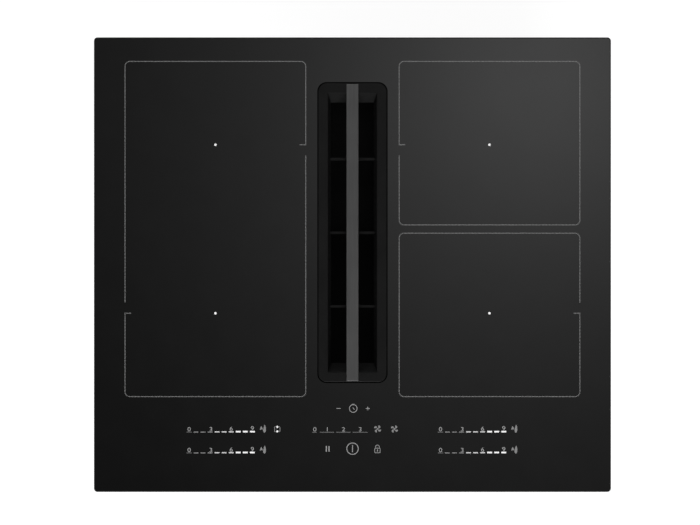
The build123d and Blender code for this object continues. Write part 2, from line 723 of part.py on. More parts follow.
# Cooling fans on the casing floor: a square frame with a bearing pin, and a bladed rotor
for side, sign in sides:
    x = sign * fan_x
    with BuildPart() as fan_frame:
        with BuildSketch(Plane((x, fan_y, case_floor))):
            RectangleRounded(FAN_SIZE, FAN_SIZE, FAN_CORNER)
            Circle(FAN_BORE_RADIUS, mode=Mode.SUBTRACT)
        extrude(amount=FAN_HEIGHT)
        with BuildSketch(Plane((x, fan_y, case_floor))):
            Circle(FAN_HUB_RADIUS)
            with PolarLocations(FAN_BORE_RADIUS / 2, FAN_STRUT_COUNT):
                Rectangle(FAN_BORE_RADIUS + FAN_STRUT_ROOT, FAN_BASE)
        extrude(amount=FAN_BASE)
        with Locations((x, fan_y, case_floor + FAN_BASE)):
            Cylinder(FAN_PIN_RADIUS, FAN_PIN_HEIGHT, align=LOW)
    write(fan_frame, f"cooling_fan_frame_{side}")

    rotor_bottom = case_floor + FAN_BASE + FAN_HUB_GAP
    blade_root = FAN_HUB_RADIUS - FAN_BLADE_ROOT
    blade_reach = FAN_BORE_RADIUS - FAN_TIP_GAP - FAN_BLADE_ROOT - blade_root
    with BuildPart() as fan_rotor:
        with Locations((x, fan_y, rotor_bottom)):
            Cylinder(FAN_HUB_RADIUS, FAN_HUB_HEIGHT, align=LOW)
        with Locations((x, fan_y, rotor_bottom + FAN_HUB_HEIGHT / 2)):
            with PolarLocations(blade_root + blade_reach / 2, FAN_BLADE_COUNT):
                with Locations(Location((0, 0, 0), (FAN_BLADE_PITCH, 0, 0))):
                    Box(blade_reach, FAN_BLADE_CHORD, FAN_BLADE_THICKNESS)
        with Locations((x, fan_y, rotor_bottom)):
            Cylinder(
                FAN_PIN_RADIUS + RUNNING_CLEARANCE,
                FAN_PIN_HEIGHT,
                align=LOW,
                mode=Mode.SUBTRACT,
            )
    write(fan_rotor, f"cooling_fan_rotor_{side}")

# Touch control unit: a tray on legs, its board, and a contact spring under each key
control_top = glass_bottom - CONTROL_DROP
control_bottom = control_top - CONTROL_HEIGHT
control_board_bottom = control_bottom + CONTROL_WALL
control_board_top = control_board_bottom + BOARD_THICKNESS
with BuildPart() as control_tray:
    with Locations((0, control_y, control_bottom)):
        Box(CONTROL_WIDTH, CONTROL_DEPTH, CONTROL_HEIGHT, align=LOW)
    with Locations((0, control_y, control_board_bottom)):
        Box(
            CONTROL_WIDTH - 2 * CONTROL_WALL,
            CONTROL_DEPTH - 2 * CONTROL_WALL,
            CONTROL_HEIGHT,
            align=LOW,
            mode=Mode.SUBTRACT,
        )
    with Locations((0, control_y, control_bottom)):
        with GridLocations(CONTROL_LEG_PITCH_X, CONTROL_LEG_PITCH_Y, 2, 2):
            Cylinder(CONTROL_LEG_RADIUS, control_bottom - case_floor, align=HIGH)
write(control_tray, "control_tray")

with BuildPart() as control_board:
    with Locations((0, control_y, control_board_bottom)):
        Box(
            CONTROL_WIDTH - 2 * (CONTROL_WALL + CONTROL_BOARD_GAP),
            CONTROL_DEPTH - 2 * (CONTROL_WALL + CONTROL_BOARD_GAP),
            BOARD_THICKNESS,
            align=LOW,
        )
write(control_board, "control_board")

with BuildPart() as touch_springs:
    with Locations((0, control_y, control_board_top)):
        with GridLocations(TOUCH_PITCH_X, TOUCH_PITCH_Y, TOUCH_COLUMNS, TOUCH_ROWS):
            Cylinder(TOUCH_RADIUS, glass_bottom - control_board_top, align=LOW)
write(touch_springs, "touch_springs")

# Mains terminal box under the casing, with a hinged cover, a terminal block and a cable gland
terminal_bottom = case_bottom - TERMINAL_HEIGHT
terminal_front = terminal_y - TERMINAL_DEPTH / 2
terminal_rear = terminal_y + TERMINAL_DEPTH / 2
hinge_y = terminal_front - HINGE_GAP - HINGE_KNUCKLE_RADIUS
hinge_z = terminal_bottom + HINGE_PIN_RADIUS
gland_z = case_bottom - TERMINAL_HEIGHT / 2
hinge_span = TERMINAL_WIDTH - 2 * TERMINAL_CORNER
lug_places = [terminal_x + sign * (hinge_span - HINGE_LUG) / 2 for _, sign in sides]
knuckle_shift = (hinge_span / 2 - HINGE_LUG - HINGE_GAP) - HINGE_KNUCKLE_LENGTH / 2
knuckle_places = [terminal_x + sign * knuckle_shift for _, sign in sides]
with BuildPart() as terminal_box:
    with BuildSketch(Plane((terminal_x, terminal_y, case_bottom))):
        RectangleRounded(TERMINAL_WIDTH, TERMINAL_DEPTH, TERMINAL_CORNER)
    extrude(amount=-TERMINAL_HEIGHT)
    offset(amount=-TERMINAL_WALL, openings=terminal_box.faces().sort_by(Axis.Z)[0])
    for x in lug_places:
        with Locations((x, terminal_front, terminal_bottom)):
            Box(
                HINGE_LUG,
                terminal_front - hinge_y + HINGE_PIN_RADIUS,
                HINGE_PIN_RADIUS + HINGE_KNUCKLE_RADIUS,
                align=(Align.CENTER, Align.MAX, Align.MIN),
            )
    with Locations(Location((terminal_x, hinge_y, hinge_z), (0, 90, 0))):
        Cylinder(HINGE_PIN_RADIUS, hinge_span)
    with Locations(Location((terminal_x, terminal_rear, gland_z), (-90, 0, 0))):
        Hole(GLAND_RADIUS + GLAND_FIT, TERMINAL_WALL)
write(terminal_box, "terminal_box")

with BuildPart() as terminal_block:
    block_width = TERMINAL_POLES * TERMINAL_POLE_PITCH
    with Locations((terminal_x, terminal_y, case_bottom - TERMINAL_WALL)):
        Box(block_width, TERMINAL_BLOCK_DEPTH, TERMINAL_BLOCK_HEIGHT, align=HIGH)
    with Locations((terminal_x, terminal_y, case_bottom - TERMINAL_WALL - TERMINAL_BLOCK_HEIGHT)):
        with GridLocations(TERMINAL_POLE_PITCH, TERMINAL_BLOCK_DEPTH / 2, TERMINAL_POLES, 2):
            Cylinder(TERMINAL_SCREW_RADIUS, TERMINAL_BLOCK_HEIGHT / 2, align=LOW, mode=Mode.SUBTRACT)
write(terminal_block, "terminal_block")

with BuildPart() as terminal_cover:
    cover_depth = terminal_rear - hinge_y
    with BuildSketch(Plane((terminal_x, hinge_y + cover_depth / 2, terminal_bottom))):
        RectangleRounded(TERMINAL_WIDTH, cover_depth, HINGE_PIN_RADIUS)
    extrude(amount=-COVER_THICKNESS)
    for x in lug_places:
        with Locations((x, terminal_front + HINGE_GAP, terminal_bottom)):
            Box(
                HINGE_LUG + 2 * HINGE_GAP,
                THROUGH,
                THROUGH,
                align=(Align.CENTER, Align.MAX, Align.CENTER),
                mode=Mode.SUBTRACT,
            )
    for x in knuckle_places:
        with Locations(Location((x, hinge_y, hinge_z), (0, 90, 0))):
            Cylinder(HINGE_KNUCKLE_RADIUS, HINGE_KNUCKLE_LENGTH)
            Cylinder(
                HINGE_PIN_RADIUS + RUNNING_CLEARANCE,
                HINGE_KNUCKLE_LENGTH,
                mode=Mode.SUBTRACT,
            )
write(terminal_cover, "terminal_cover")

with BuildPart() as gland:
    with BuildSketch(Plane((terminal_x, terminal_rear, gland_z), z_dir=(0, 1, 0))):
        RegularPolygon(GLAND_FLANGE_RADIUS, GLAND_FLAT_COUNT)
    extrude(amount=GLAND_FLANGE)
    with Locations(Location((terminal_x, terminal_rear, gland_z), (-90, 0, 0))):
        Cylinder(GLAND_RADIUS, TERMINAL_WALL, align=HIGH)
        Cylinder(GLAND_RADIUS, GLAND_LENGTH - TERMINAL_WALL, align=LOW)
    chamfer(gland.faces().sort_by(Axis.Y)[-1].edges(), GLAND_CHAMFER)
    with Locations(Location((terminal_x, terminal_rear, gland_z), (-90, 0, 0))):
        Cylinder(GLAND_BORE_RADIUS, THROUGH, mode=Mode.SUBTRACT)
write(gland, "cable_gland")

# Foam gasket round the air well, between the casing and the ventilation housing
with BuildPart() as plenum_seal:
    seal_width = pass_width + 2 * PLENUM_SEAL_GAP
    seal_length = pass_length + 2 * PLENUM_SEAL_GAP
    with BuildSketch(slot_plane(roof_top)):
        RectangleRounded(
            seal_width + 2 * PLENUM_SEAL_WIDTH, seal_length + 2 * PLENUM_SEAL_WIDTH, pass_corner
        )
        RectangleRounded(seal_width, seal_length, pass_corner, mode=Mode.SUBTRACT)
    extrude(amount=PLENUM_SEAL)
write(plenum_seal, "plenum_seal")

# Screws through the housing: along the left flange, along the right one and round the volute's arcs
flange_mid = HOUSING_FLANGE / 2
left_span = plenum_rear - plenum_front - 2 * HOUSING_CORNER
left_screws = [
    (plenum_left - flange_mid, plenum_front + HOUSING_CORNER + left_span * i / (LEFT_SCREW_COUNT - 1))
    for i in range(LEFT_SCREW_COUNT)
]
right_start = BLOWER_Y + volute_half
right_span = plenum_rear - HOUSING_CORNER - right_start
right_screws = [
    (plenum_right + VOLUTE_FLANGE / 2, right_start + right_span * i / (RIGHT_SCREW_COUNT - 1))
    for i in range(RIGHT_SCREW_COUNT)
]
arc_screws = [
    (
        blower_x + sx * volute_half + (VOLUTE_RADIUS + i * VOLUTE_STEP + volute_screw_out) * cos(radians(angle)),
        BLOWER_Y + sy * volute_half + (VOLUTE_RADIUS + i * VOLUTE_STEP + volute_screw_out) * sin(radians(angle)),
    )
    for i, (sx, sy) in enumerate(((-1, -1), (1, -1), (1, 1)))
    for angle in ARC_SCREW_ANGLES[i]
]

# Upper housing shell: roof, walls and a bottom flange, with bosses up to the casing
with BuildPart() as plenum:
    with BuildSketch(Plane.XY.offset(plenum_bottom)):
        add(plenum_outline(0))
    extrude(amount=PLENUM_HEIGHT)
    fillet(plenum.faces().sort_by(Axis.Z)[-1].edges(), HOUSING_ROUND)
    offset(amount=-HOUSING_WALL, openings=plenum.faces().sort_by(Axis.Z)[0])
    with BuildSketch(Plane.XY.offset(plenum_bottom)):
        add(plenum_outline(HOUSING_FLANGE))
        add(plenum_outline(0), mode=Mode.SUBTRACT)
        with Locations(*left_screws, *right_screws):
            Circle(screw_hole, mode=Mode.SUBTRACT)
    extrude(amount=HOUSING_FLANGE_THICKNESS)
    with BuildSketch(slot_plane(roof_bottom)):
        RectangleRounded(pass_width, pass_length, pass_corner)
    extrude(amount=HOUSING_WALL, mode=Mode.SUBTRACT)
    with Locations(*[(x, y, case_bottom) for x, y in case_screw_places]):
        Cylinder(CASE_BOSS_RADIUS, CASE_BOSS_DEPTH, align=HIGH)
        Cylinder(screw_hole, CASE_BOSS_DEPTH, align=HIGH, mode=Mode.SUBTRACT)
write(plenum, "plenum_shell")

# Lower housing shell: a floor with the blower's bell mouth and the opening over the tank
bell_top = plenum_bottom
flare_start = (blower_x + BELL_RADIUS + BELL_FLARE, bell_top)
flare_end = (blower_x + BELL_RADIUS, bell_top - BELL_FLARE)
bell_lip = (flare_end[0] + BELL_WALL, flare_end[1])
bell_root = (flare_start[0], bell_top - BELL_WALL)
blower_axis = Axis((blower_x, BLOWER_Y, 0), (0, 0, 1))
with BuildPart() as lower_shell:
    with BuildSketch(Plane.XY.offset(shell_bottom)):
        add(plenum_outline(HOUSING_FLANGE))
        with Locations((0, TANK_Y)):
            RectangleRounded(TANK_WIDTH, TANK_LENGTH, TANK_CORNER, mode=Mode.SUBTRACT)
        with Locations((blower_x, BLOWER_Y)):
            Circle(BELL_RADIUS + BELL_FLARE, mode=Mode.SUBTRACT)
        with Locations(*left_screws, *right_screws, *arc_screws):
            Circle(screw_hole, mode=Mode.SUBTRACT)
    extrude(amount=HOUSING_FLANGE_THICKNESS)
    with BuildSketch(Plane.XZ.offset(-BLOWER_Y)):
        with BuildLine():
            RadiusArc(flare_start, flare_end, -BELL_FLARE)
            Line(flare_end, bell_lip)
            RadiusArc(bell_lip, bell_root, BELL_FLARE - BELL_WALL)
            Line(bell_root, flare_start)
        make_face()
    revolve(axis=blower_axis)
write(lower_shell, "lower_shell")

# Screws from below: two layers on the left, three on the right, volute to lower shell round the arcs
volute_seat = shell_bottom - VOLUTE_FLANGE_THICKNESS
with BuildPart() as housing_screws:
    for places, seat, top in (
        (left_screws, shell_bottom, plenum_bottom + HOUSING_FLANGE_THICKNESS),
        (right_screws, volute_seat, plenum_bottom + HOUSING_FLANGE_THICKNESS),
        (arc_screws, volute_seat, plenum_bottom),
    ):
        with Locations(*[(x, y, seat) for x, y in places]):
            Cylinder(HOUSING_SCREW_HEAD_RADIUS, HOUSING_SCREW_HEAD, align=HIGH)
            Cylinder(HOUSING_SCREW_RADIUS, top - seat, align=LOW)
write(housing_screws, "housing_screws")

# Screws from the casing floor down into the housing's bosses
with BuildPart() as case_screws:
    with Locations(*[(x, y, case_floor) for x, y in case_screw_places]):
        Cylinder(HOUSING_SCREW_HEAD_RADIUS, HOUSING_SCREW_HEAD, align=LOW)
        Cylinder(HOUSING_SCREW_RADIUS, CASE_SCREW_LENGTH, align=HIGH)
write(case_screws, "case_screws")

# Volute housing: a four-arc spiral tub with a diffuser, a duct neck, a flange and floor ribs
duct_middle = (duct_left + duct_right) / 2
with BuildPart() as volute:
    blower_plane = Plane((blower_x, BLOWER_Y, volute_bottom))
    with BuildSketch(blower_plane):
        add(volute_outline(HOUSING_WALL))
    extrude(amount=VOLUTE_HEIGHT)
    with BuildSketch(Plane((blower_x, BLOWER_Y, shell_bottom))):
        add(volute_outline(volute_edge))
        with Locations((0, plenum_rear + HOUSING_WALL - BLOWER_Y)):
            Rectangle(THROUGH, THROUGH, align=(Align.CENTER, Align.MIN), mode=Mode.SUBTRACT)
        with Locations(*[(x - blower_x, y - BLOWER_Y) for x, y in right_screws + arc_screws]):
            Circle(screw_hole, mode=Mode.SUBTRACT)
    extrude(amount=-VOLUTE_FLANGE_THICKNESS)
    with Locations((duct_middle, plenum_rear, volute_bottom)):
        Box(
            DUCT_WIDTH,
            DUCT_LENGTH + HOUSING_WALL,
            DUCT_HEIGHT,
            align=(Align.CENTER, Align.MIN, Align.MIN),
        )
    fillet(volute.faces().sort_by(Axis.Z)[0].edges(), HOUSING_ROUND)
    with BuildSketch(Plane((blower_x, BLOWER_Y, volute_floor))):
        add(volute_outline(0))
    extrude(amount=VOLUTE_HEIGHT, mode=Mode.SUBTRACT)
    with Locations((duct_middle, plenum_rear, volute_floor)):
        Box(
            DUCT_WIDTH - 2 * HOUSING_WALL,
            THROUGH,
            DUCT_HEIGHT - 2 * HOUSING_WALL,
            align=(Align.CENTER, Align.MIN, Align.MIN),
            mode=Mode.SUBTRACT,
        )
    with BuildSketch(blower_plane):
        Circle(MOTOR_HOLE_RADIUS)
    extrude(amount=HOUSING_WALL, mode=Mode.SUBTRACT)
    with Locations((blower_x, BLOWER_Y, volute_bottom)):
        with PolarLocations(MOTOR_PLATE_RADIUS + FLOOR_RIB_GAP + FLOOR_RIB_LENGTH / 2, FLOOR_RIB_COUNT):
            Box(FLOOR_RIB_LENGTH, FLOOR_RIB_THICKNESS, MOTOR_PLATE, align=HIGH)
write(volute, "volute_housing")

# Impeller: a plate dished over the motor, a ring of forward-curved blades and a rim
motor_base = volute_bottom + DAMPER_HEIGHT
motor_top = motor_base + MOTOR_HEIGHT
impeller_top = plenum_bottom - BELL_FLARE - IMPELLER_TOP_GAP
impeller_bottom = volute_floor + IMPELLER_FLOOR_GAP
plate_top = impeller_bottom + IMPELLER_PLATE
cup_top = motor_top + MOTOR_GAP + IMPELLER_PLATE
cup_radius = MOTOR_RADIUS + MOTOR_GAP + IMPELLER_PLATE
hub_top = cup_top + HUB_HEIGHT
bore_radius = SHAFT_RADIUS + SHAFT_FIT
dish = [
    (IMPELLER_RADIUS, impeller_bottom),
    (IMPELLER_RADIUS, plate_top),
    (cup_radius + CUP_FLARE, plate_top),
    (cup_radius, cup_top),
    (HUB_RADIUS, cup_top),
    (HUB_RADIUS, hub_top),
    (bore_radius, hub_top),
    (bore_radius, cup_top - IMPELLER_PLATE),
    (cup_radius - IMPELLER_PLATE, cup_top - IMPELLER_PLATE),
    (cup_radius + CUP_FLARE - IMPELLER_PLATE, impeller_bottom),
]
with BuildSketch() as blade:
    with BuildLine():
        SagittaArc((BLADE_INNER_RADIUS, 0), (IMPELLER_RADIUS - BLADE_THICKNESS, BLADE_SWEEP), BLADE_BOW)
    trace(line_width=BLADE_THICKNESS)
with BuildPart() as impeller:
    with BuildSketch(Plane.XZ.offset(-BLOWER_Y)):
        with BuildLine():
            Polyline(*[(blower_x + r, z) for r, z in dish], close=True)
        make_face()
    revolve(axis=blower_axis)
    with BuildSketch(Plane((blower_x, BLOWER_Y, plate_top))):
        with PolarLocations(0, BLADE_COUNT):
            add(blade.sketch)
    extrude(amount=impeller_top - plate_top)
    with BuildSketch(Plane((blower_x, BLOWER_Y, impeller_top))):
        Circle(IMPELLER_RADIUS)
        Circle(IMPELLER_RADIUS - IMPELLER_RIM, mode=Mode.SUBTRACT)
    extrude(amount=-IMPELLER_PLATE)
write(impeller, "impeller")

# Motor on its damped plate, with the shaft that carries the impeller
shaft_bottom = motor_base + MOTOR_FLANGE
with BuildPart() as shaft:
    with Locations((blower_x, BLOWER_Y, shaft_bottom)):
        Cylinder(SHAFT_RADIUS, hub_top - shaft_bottom, align=LOW)
write(shaft, "motor_shaft")

with BuildPart() as motor:
    with Locations((blower_x, BLOWER_Y, motor_base)):
        Cylinder(MOTOR_FLANGE_RADIUS, MOTOR_FLANGE, align=LOW)
        Cylinder(MOTOR_RADIUS, MOTOR_HEIGHT, align=LOW)
    with Locations((blower_x, BLOWER_Y, motor_top)):
        Hole(SHAFT_RADIUS + RUNNING_CLEARANCE, motor_top - shaft_bottom + RUNNING_CLEARANCE)
write(motor, "blower_motor")

with BuildPart() as motor_plate:
    with BuildSketch(Plane((blower_x, BLOWER_Y, volute_bottom))):
        Circle(MOTOR_PLATE_RADIUS)
        with PolarLocations(MOTOR_VENT_PITCH_RADIUS, MOTOR_VENT_COUNT):
            Circle(MOTOR_VENT_RADIUS, mode=Mode.SUBTRACT)
    extrude(amount=-MOTOR_PLATE)
write(motor_plate, "motor_plate")

with BuildPart() as dampers:
    with Locations((blower_x, BLOWER_Y, volute_bottom)):
        with PolarLocations(DAMPER_PITCH_RADIUS, DAMPER_COUNT):
            Cylinder(DAMPER_RADIUS, DAMPER_HEIGHT, align=LOW)
write(dampers, "motor_dampers")

# Overflow tank: a drafted tub with a flange and two pulls, and the gasket on its flange
tank_top = shell_bottom - TANK_SEAL
with BuildPart() as tank:
    with BuildSketch(tank_plane(tank_top)):
        RectangleRounded(TANK_WIDTH + 2 * TANK_WALL, TANK_LENGTH + 2 * TANK_WALL, TANK_CORNER + TANK_WALL)
    extrude(amount=TANK_DEPTH, dir=(0, 0, -1), taper=TANK_DRAFT)
    fillet(tank.faces().sort_by(Axis.Z)[0].edges(), TANK_BOTTOM_ROUND)
    with BuildSketch(tank_plane(tank_top)):
        RectangleRounded(TANK_WIDTH, TANK_LENGTH, TANK_CORNER)
    extrude(amount=TANK_DEPTH - TANK_WALL, dir=(0, 0, -1), taper=TANK_DRAFT, mode=Mode.SUBTRACT)
    tank_floor = tank.faces().filter_by(Axis.Z).sort_by(Axis.Z)[1]
    fillet(tank_floor.edges(), TANK_BOTTOM_ROUND - TANK_WALL)
    with BuildSketch(tank_plane(tank_top)):
        RectangleRounded(2 * tank_half, 2 * tank_end, TANK_CORNER + TANK_WALL + TANK_FLANGE)
        Rectangle(TANK_PULL_WIDTH, 2 * (tank_end + TANK_PULL_REACH))
        RectangleRounded(TANK_WIDTH, TANK_LENGTH, TANK_CORNER, mode=Mode.SUBTRACT)
    extrude(amount=-TANK_FLANGE_THICKNESS)
write(tank, "overflow_tank")

with BuildPart() as tank_seal:
    with BuildSketch(tank_plane(tank_top)):
        RectangleRounded(2 * tank_half, 2 * tank_end, TANK_CORNER + TANK_WALL + TANK_FLANGE)
        RectangleRounded(TANK_WIDTH, TANK_LENGTH, TANK_CORNER, mode=Mode.SUBTRACT)
    extrude(amount=TANK_SEAL)
write(tank_seal, "tank_seal")
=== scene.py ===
import json
import math

import bmesh
import bpy
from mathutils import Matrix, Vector
from mathutils.geometry import interpolate_bezier


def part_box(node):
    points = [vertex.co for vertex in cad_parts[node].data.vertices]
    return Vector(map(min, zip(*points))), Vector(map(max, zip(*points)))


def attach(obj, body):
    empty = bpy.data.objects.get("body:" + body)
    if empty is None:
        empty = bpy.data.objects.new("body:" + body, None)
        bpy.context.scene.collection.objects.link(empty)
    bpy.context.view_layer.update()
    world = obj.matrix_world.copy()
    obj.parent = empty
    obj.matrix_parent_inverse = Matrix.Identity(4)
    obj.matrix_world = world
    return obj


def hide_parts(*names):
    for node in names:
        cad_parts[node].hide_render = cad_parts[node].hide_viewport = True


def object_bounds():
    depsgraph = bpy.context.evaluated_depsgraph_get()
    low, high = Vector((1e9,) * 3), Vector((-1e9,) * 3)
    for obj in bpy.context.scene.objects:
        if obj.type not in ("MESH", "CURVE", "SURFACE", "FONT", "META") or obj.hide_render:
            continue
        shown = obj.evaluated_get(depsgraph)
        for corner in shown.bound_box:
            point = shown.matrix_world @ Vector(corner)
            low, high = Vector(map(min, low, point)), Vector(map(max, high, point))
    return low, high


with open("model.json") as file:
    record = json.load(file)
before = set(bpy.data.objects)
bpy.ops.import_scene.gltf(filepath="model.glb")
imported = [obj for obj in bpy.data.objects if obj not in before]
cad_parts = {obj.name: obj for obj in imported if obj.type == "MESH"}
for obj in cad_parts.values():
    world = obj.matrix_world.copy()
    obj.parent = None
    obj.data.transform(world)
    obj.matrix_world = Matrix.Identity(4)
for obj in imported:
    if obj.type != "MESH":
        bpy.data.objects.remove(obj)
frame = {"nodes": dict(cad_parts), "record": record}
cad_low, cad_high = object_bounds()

# Sizes and places are in millimetres, in the part's frame, unless their heading says metres
MM = 0.001

# Camera: straight above the glass with a long lens, the photograph in pixels, the distance in metres
PHOTO_SIZE = (700, 525)
PHOTO_CENTRE = (351.95, 264.16)
PIXELS_PER_MM = 0.8915
CAMERA_DISTANCE = 4.0
SENSOR_WIDTH = 36.0

# Printing: brightness of the inks, widths of the lines, and digits in the built-in font
INK_THICKNESS = 0.06
INK_TONES = {"white": 0.88, "light": 0.55, "pale": 0.29, "grey": 0.25, "faint": 0.12, "dim": 0.21}
LINE_WIDTH = 0.75
FINE_LINE = 0.6
DIGIT_HEIGHT = 4.7
DIGIT_STRETCH = 1.2
FONT_HALF_DEPTH = 0.5
FONT_WELD = 1e-4

# Cooking zones: edges, corners, breaks beside the coils with a tick at one end, dots of the lines
ZONE_INNER = 52.4
ZONE_OUTER = 255.1
ZONE_REAR = 228.0
ZONE_FRONT = -148.0
ZONE_RIGHT_REAR_EDGE = 44.6
ZONE_RIGHT_FRONT_EDGE = 35.3
ZONE_CORNER = 5.4
ZONE_BREAK = 12.4
ZONE_TICK = 7.8
ZONE_DOT_PITCH = 1.6
ZONE_DOT_RADIUS = 0.6
ZONE_DOT_SIDES = 6
COIL_MARK_X = 153.7
COIL_MARK_REAR = 134.5
COIL_MARK_FRONT = -54.5
COIL_MARK_RADIUS = 1.42

# Power sliders: a line for zero, then dashes in three weights, each a thickness and an ink
SLIDER_SIDES = {"left": -183.2, "right": 98.8}
SLIDER_ROWS = {"rear": -188.2, "front": -211.6}
SLIDER_ZERO_LENGTH = 6.0
SLIDER_DASH_START = 5.0
SLIDER_DASH_PITCH = 7.9
SLIDER_DASH_LENGTH = 5.4
SLIDER_WEIGHTS = [(0.85, "grey"), (1.3, "light"), (1.8, "white")]
SLIDER_DASHES_PER_WEIGHT = 3
SLIDER_DIGIT_SHIFTS = {"0": 0.0, "3": 0.9, "6": 0.0, "9": 0.0}
SLIDER_DIGIT_LIFT = 0.5
BOOST_X = 83.0
BOOST_FLAMES = [
    [(-2.1, 7.1), (-0.4, 3.5), (-1.9, 3.6), (-3.6, 3.0)],
    [(1.5, -0.4), (3.0, 1.8), (2.9, 5.9), (1.8, 8.6), (0.7, 5.9), (0.0, 1.8)],
]

# Bridge key: two dots between a pair of brackets
BRIDGE_KEY = (-84.3, -184.5)
BRIDGE_BEND = (1.8, 1.8)
BRIDGE_BEND_RADIUS = 1.2
BRIDGE_BEND_STEPS = 4
BRIDGE_LINE = 0.7
BRIDGE_DOT_Y = 2.5
BRIDGE_DOT_RADIUS = 1.2

# Timer keys: minus, clock and plus
TIMER_Y = -161.3
TIMER_MINUS_X = -15.6
TIMER_MINUS_WIDTH = 4.4
TIMER_CLOCK_X = 0.9
TIMER_CLOCK_RADIUS = 4.3
TIMER_CLOCK_HANDS = [(-0.4, 1.4), (0.0, 0.0), (1.6, -1.4)]
TIMER_KNOB_Y = 4.9
TIMER_KNOB_SIZE = (2.6, 0.4)
TIMER_PLUS_X = 17.2
TIMER_PLUS_WIDTH = 4.2
TIMER_PLUS_ARM_Y = 1.19
TIMER_PLUS_ARM_SIZE = (0.7, 1.62)

# Extractor scale and fan keys, with the points of a blade as (reach, degrees)
FAN_SCALE_Y = -188.0
FAN_SCALE_LINES = [(-45.2, -40.2), (-36.7, -20.5), (-18.3, -2.0), (0.1, 17.1)]
FAN_DIGIT_X = {"0": -42.2, "1": -28.2, "2": -10.0, "3": 8.7}
FAN_DIGIT_LIFT = 1.0
FAN_KEY_HUBS = {(28.2, -184.2): 1.0, (47.1, -184.3): 1.15}
FAN_BLADE_TURNS = (45, 135, 225, 315)
FAN_BLADE = [(1.5, -26), (1.5, 2), (2.7, 27), (4.0, 32), (4.3, 10), (3.5, -16)]

# Pause, power and lock keys
PAUSE_KEY = (-27.8, -206.6)
PAUSE_BAR_X = 1.5
PAUSE_BAR_SIZE = (1.25, 6.3)
POWER_KEY = (0.1, -206.4)
POWER_RADIUS = 6.4
POWER_LINE = 0.85
POWER_BAR_SIZE = (0.95, 7.8)
LOCK_KEY = (28.0, -206.6)
LOCK_HALF_WIDTH = 3.1
LOCK_FOOT = -4.4
LOCK_TOP = 0.7
LOCK_CORNER = 1.0
LOCK_CORNER_STEP = 0.5
LOCK_SHACKLE_ROOT = 1.0
LOCK_SHACKLE_Y = 2.2
LOCK_SHACKLE_RADIUS = 2.1
LOCK_SHACKLE_STEPS = 12
LOCK_KEYHOLE_Y = -1.8
LOCK_KEYHOLE_SIZE = (0.9, 2.4)

# Grease filters: a folded frame round two layers of stretched metal
FRAME_WIDTH = 6.0
FRAME_FOLD = 0.5
FRAME_FOLD_SEGMENTS = 2
STRAND_LENGTH = 8.0
STRAND_PITCH = 4.0
STRAND_WIDTH = 0.9
STRAND_THICKNESS = 0.5
STRAND_LIFT = 0.1
LAYER_OFFSET = 1.1

# Outer screws: the drive and the rounded crown, as shares of the head's radius or height
SCREW_SIDES = 24
DRIVE_RADIUS = 0.5
DRIVE_DEPTH = 0.55
DRIVE_LOBES = 6
DRIVE_LOBE_HEIGHT = 0.2
CROWN_FLAT = 0.68
CROWN_HEIGHT = 0.6
CROWN_TURNS = (0, 30, 60, 90)

# Weld that joins the faces of a solid before its box is taken
SOLID_WELD = 0.001

# Stage, in metres and watts: floor, world, card above the glass, and lamps as place, size and power
FLOOR_DROP = 0.094
FLOOR_SIZE = 14.0
FLOOR_LIT = 0.8
FLOOR_SEEN = 0.24
FLOOR_GLOW = 0.85
WORLD_FILL = 0.3
CARD_HEIGHT = 4.6
CARD_SIZE = 11.0
LAMPS = {"key": ((0.1, -2.6, 1.2), 1.2, 110.0), "fill": ((-0.2, 2.4, 1.25), 1.8, 38.0)}

# Glow on the card, where it shows on the glass from the camera
GLOW_CENTRE = (220.0, 220.0)
GLOW_WIDTH = 238.0
GLOW_POWER = 1.8
GLOW_FOOT = 0.08
GLOW_STRENGTH = 1.345

# Materials: middle range of a noise, lines that run along y, and how upright a flat face's normal is
NOISE_LOW = 0.3
NOISE_HIGH = 0.7
ALONG_Y = (1, 0.02, 1)
FLAT_NORMAL = 0.99
WHITE = (1, 1, 1, 1)

node_boxes = {name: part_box(name) for name in frame["nodes"]}
glass_top = node_boxes["glass_plate"][1].z / MM


def add_node(tree, kind, inputs=None, **settings):
    """Adds a shader node. An input is a constant or the socket that feeds it."""
    made = tree.nodes.new(kind)
    for name, value in settings.items():
        setattr(made, name, value)
    for name, value in (inputs or {}).items():
        feed(tree, made.inputs[name], value)
    return made


def feed(tree, socket, value):
    """Links a socket to another one, or sets its constant."""
    if isinstance(value, bpy.types.NodeSocket):
        tree.links.new(value, socket)
    else:
        socket.default_value = value


def place(tree, stretch=(1, 1, 1), kind="Object"):
    """Where a point lies on its piece, stretched for directional patterns."""
    socket = add_node(tree, "ShaderNodeTexCoord").outputs[kind]
    return add_node(tree, "ShaderNodeMapping", {"Vector": socket, "Scale": stretch}).outputs["Vector"]


def noise(tree, scale, detail=3.0, stretch=(1, 1, 1)):
    """Cloudy noise with so many features to a metre."""
    inputs = {"Vector": place(tree, stretch), "Scale": scale, "Detail": detail}
    return add_node(tree, "ShaderNodeTexNoise", inputs).outputs["Fac"]


def cells(tree, scale):
    """Random grey for each cell of a crystal-like pattern."""
    inputs = {"Vector": place(tree), "Scale": scale}
    colour = add_node(tree, "ShaderNodeTexVoronoi", inputs).outputs["Color"]
    return add_node(tree, "ShaderNodeSeparateColor", {"Color": colour}).outputs["Red"]


def math_node(tree, operation, first, second=0.0):
    """One step of arithmetic."""
    made = add_node(tree, "ShaderNodeMath", operation=operation)
    feed(tree, made.inputs[0], first)
    feed(tree, made.inputs[1], second)
    return made.outputs["Value"]


def ramp(tree, factor, stops):
    """Colour from a factor: stops are (position, colour)."""
    made = add_node(tree, "ShaderNodeValToRGB", {"Fac": factor})
    elements = made.color_ramp.elements
    for element, (position, colour) in zip(elements, stops):
        element.position = position
        element.color = (*colour, 1.0)
    return made.outputs["Color"]


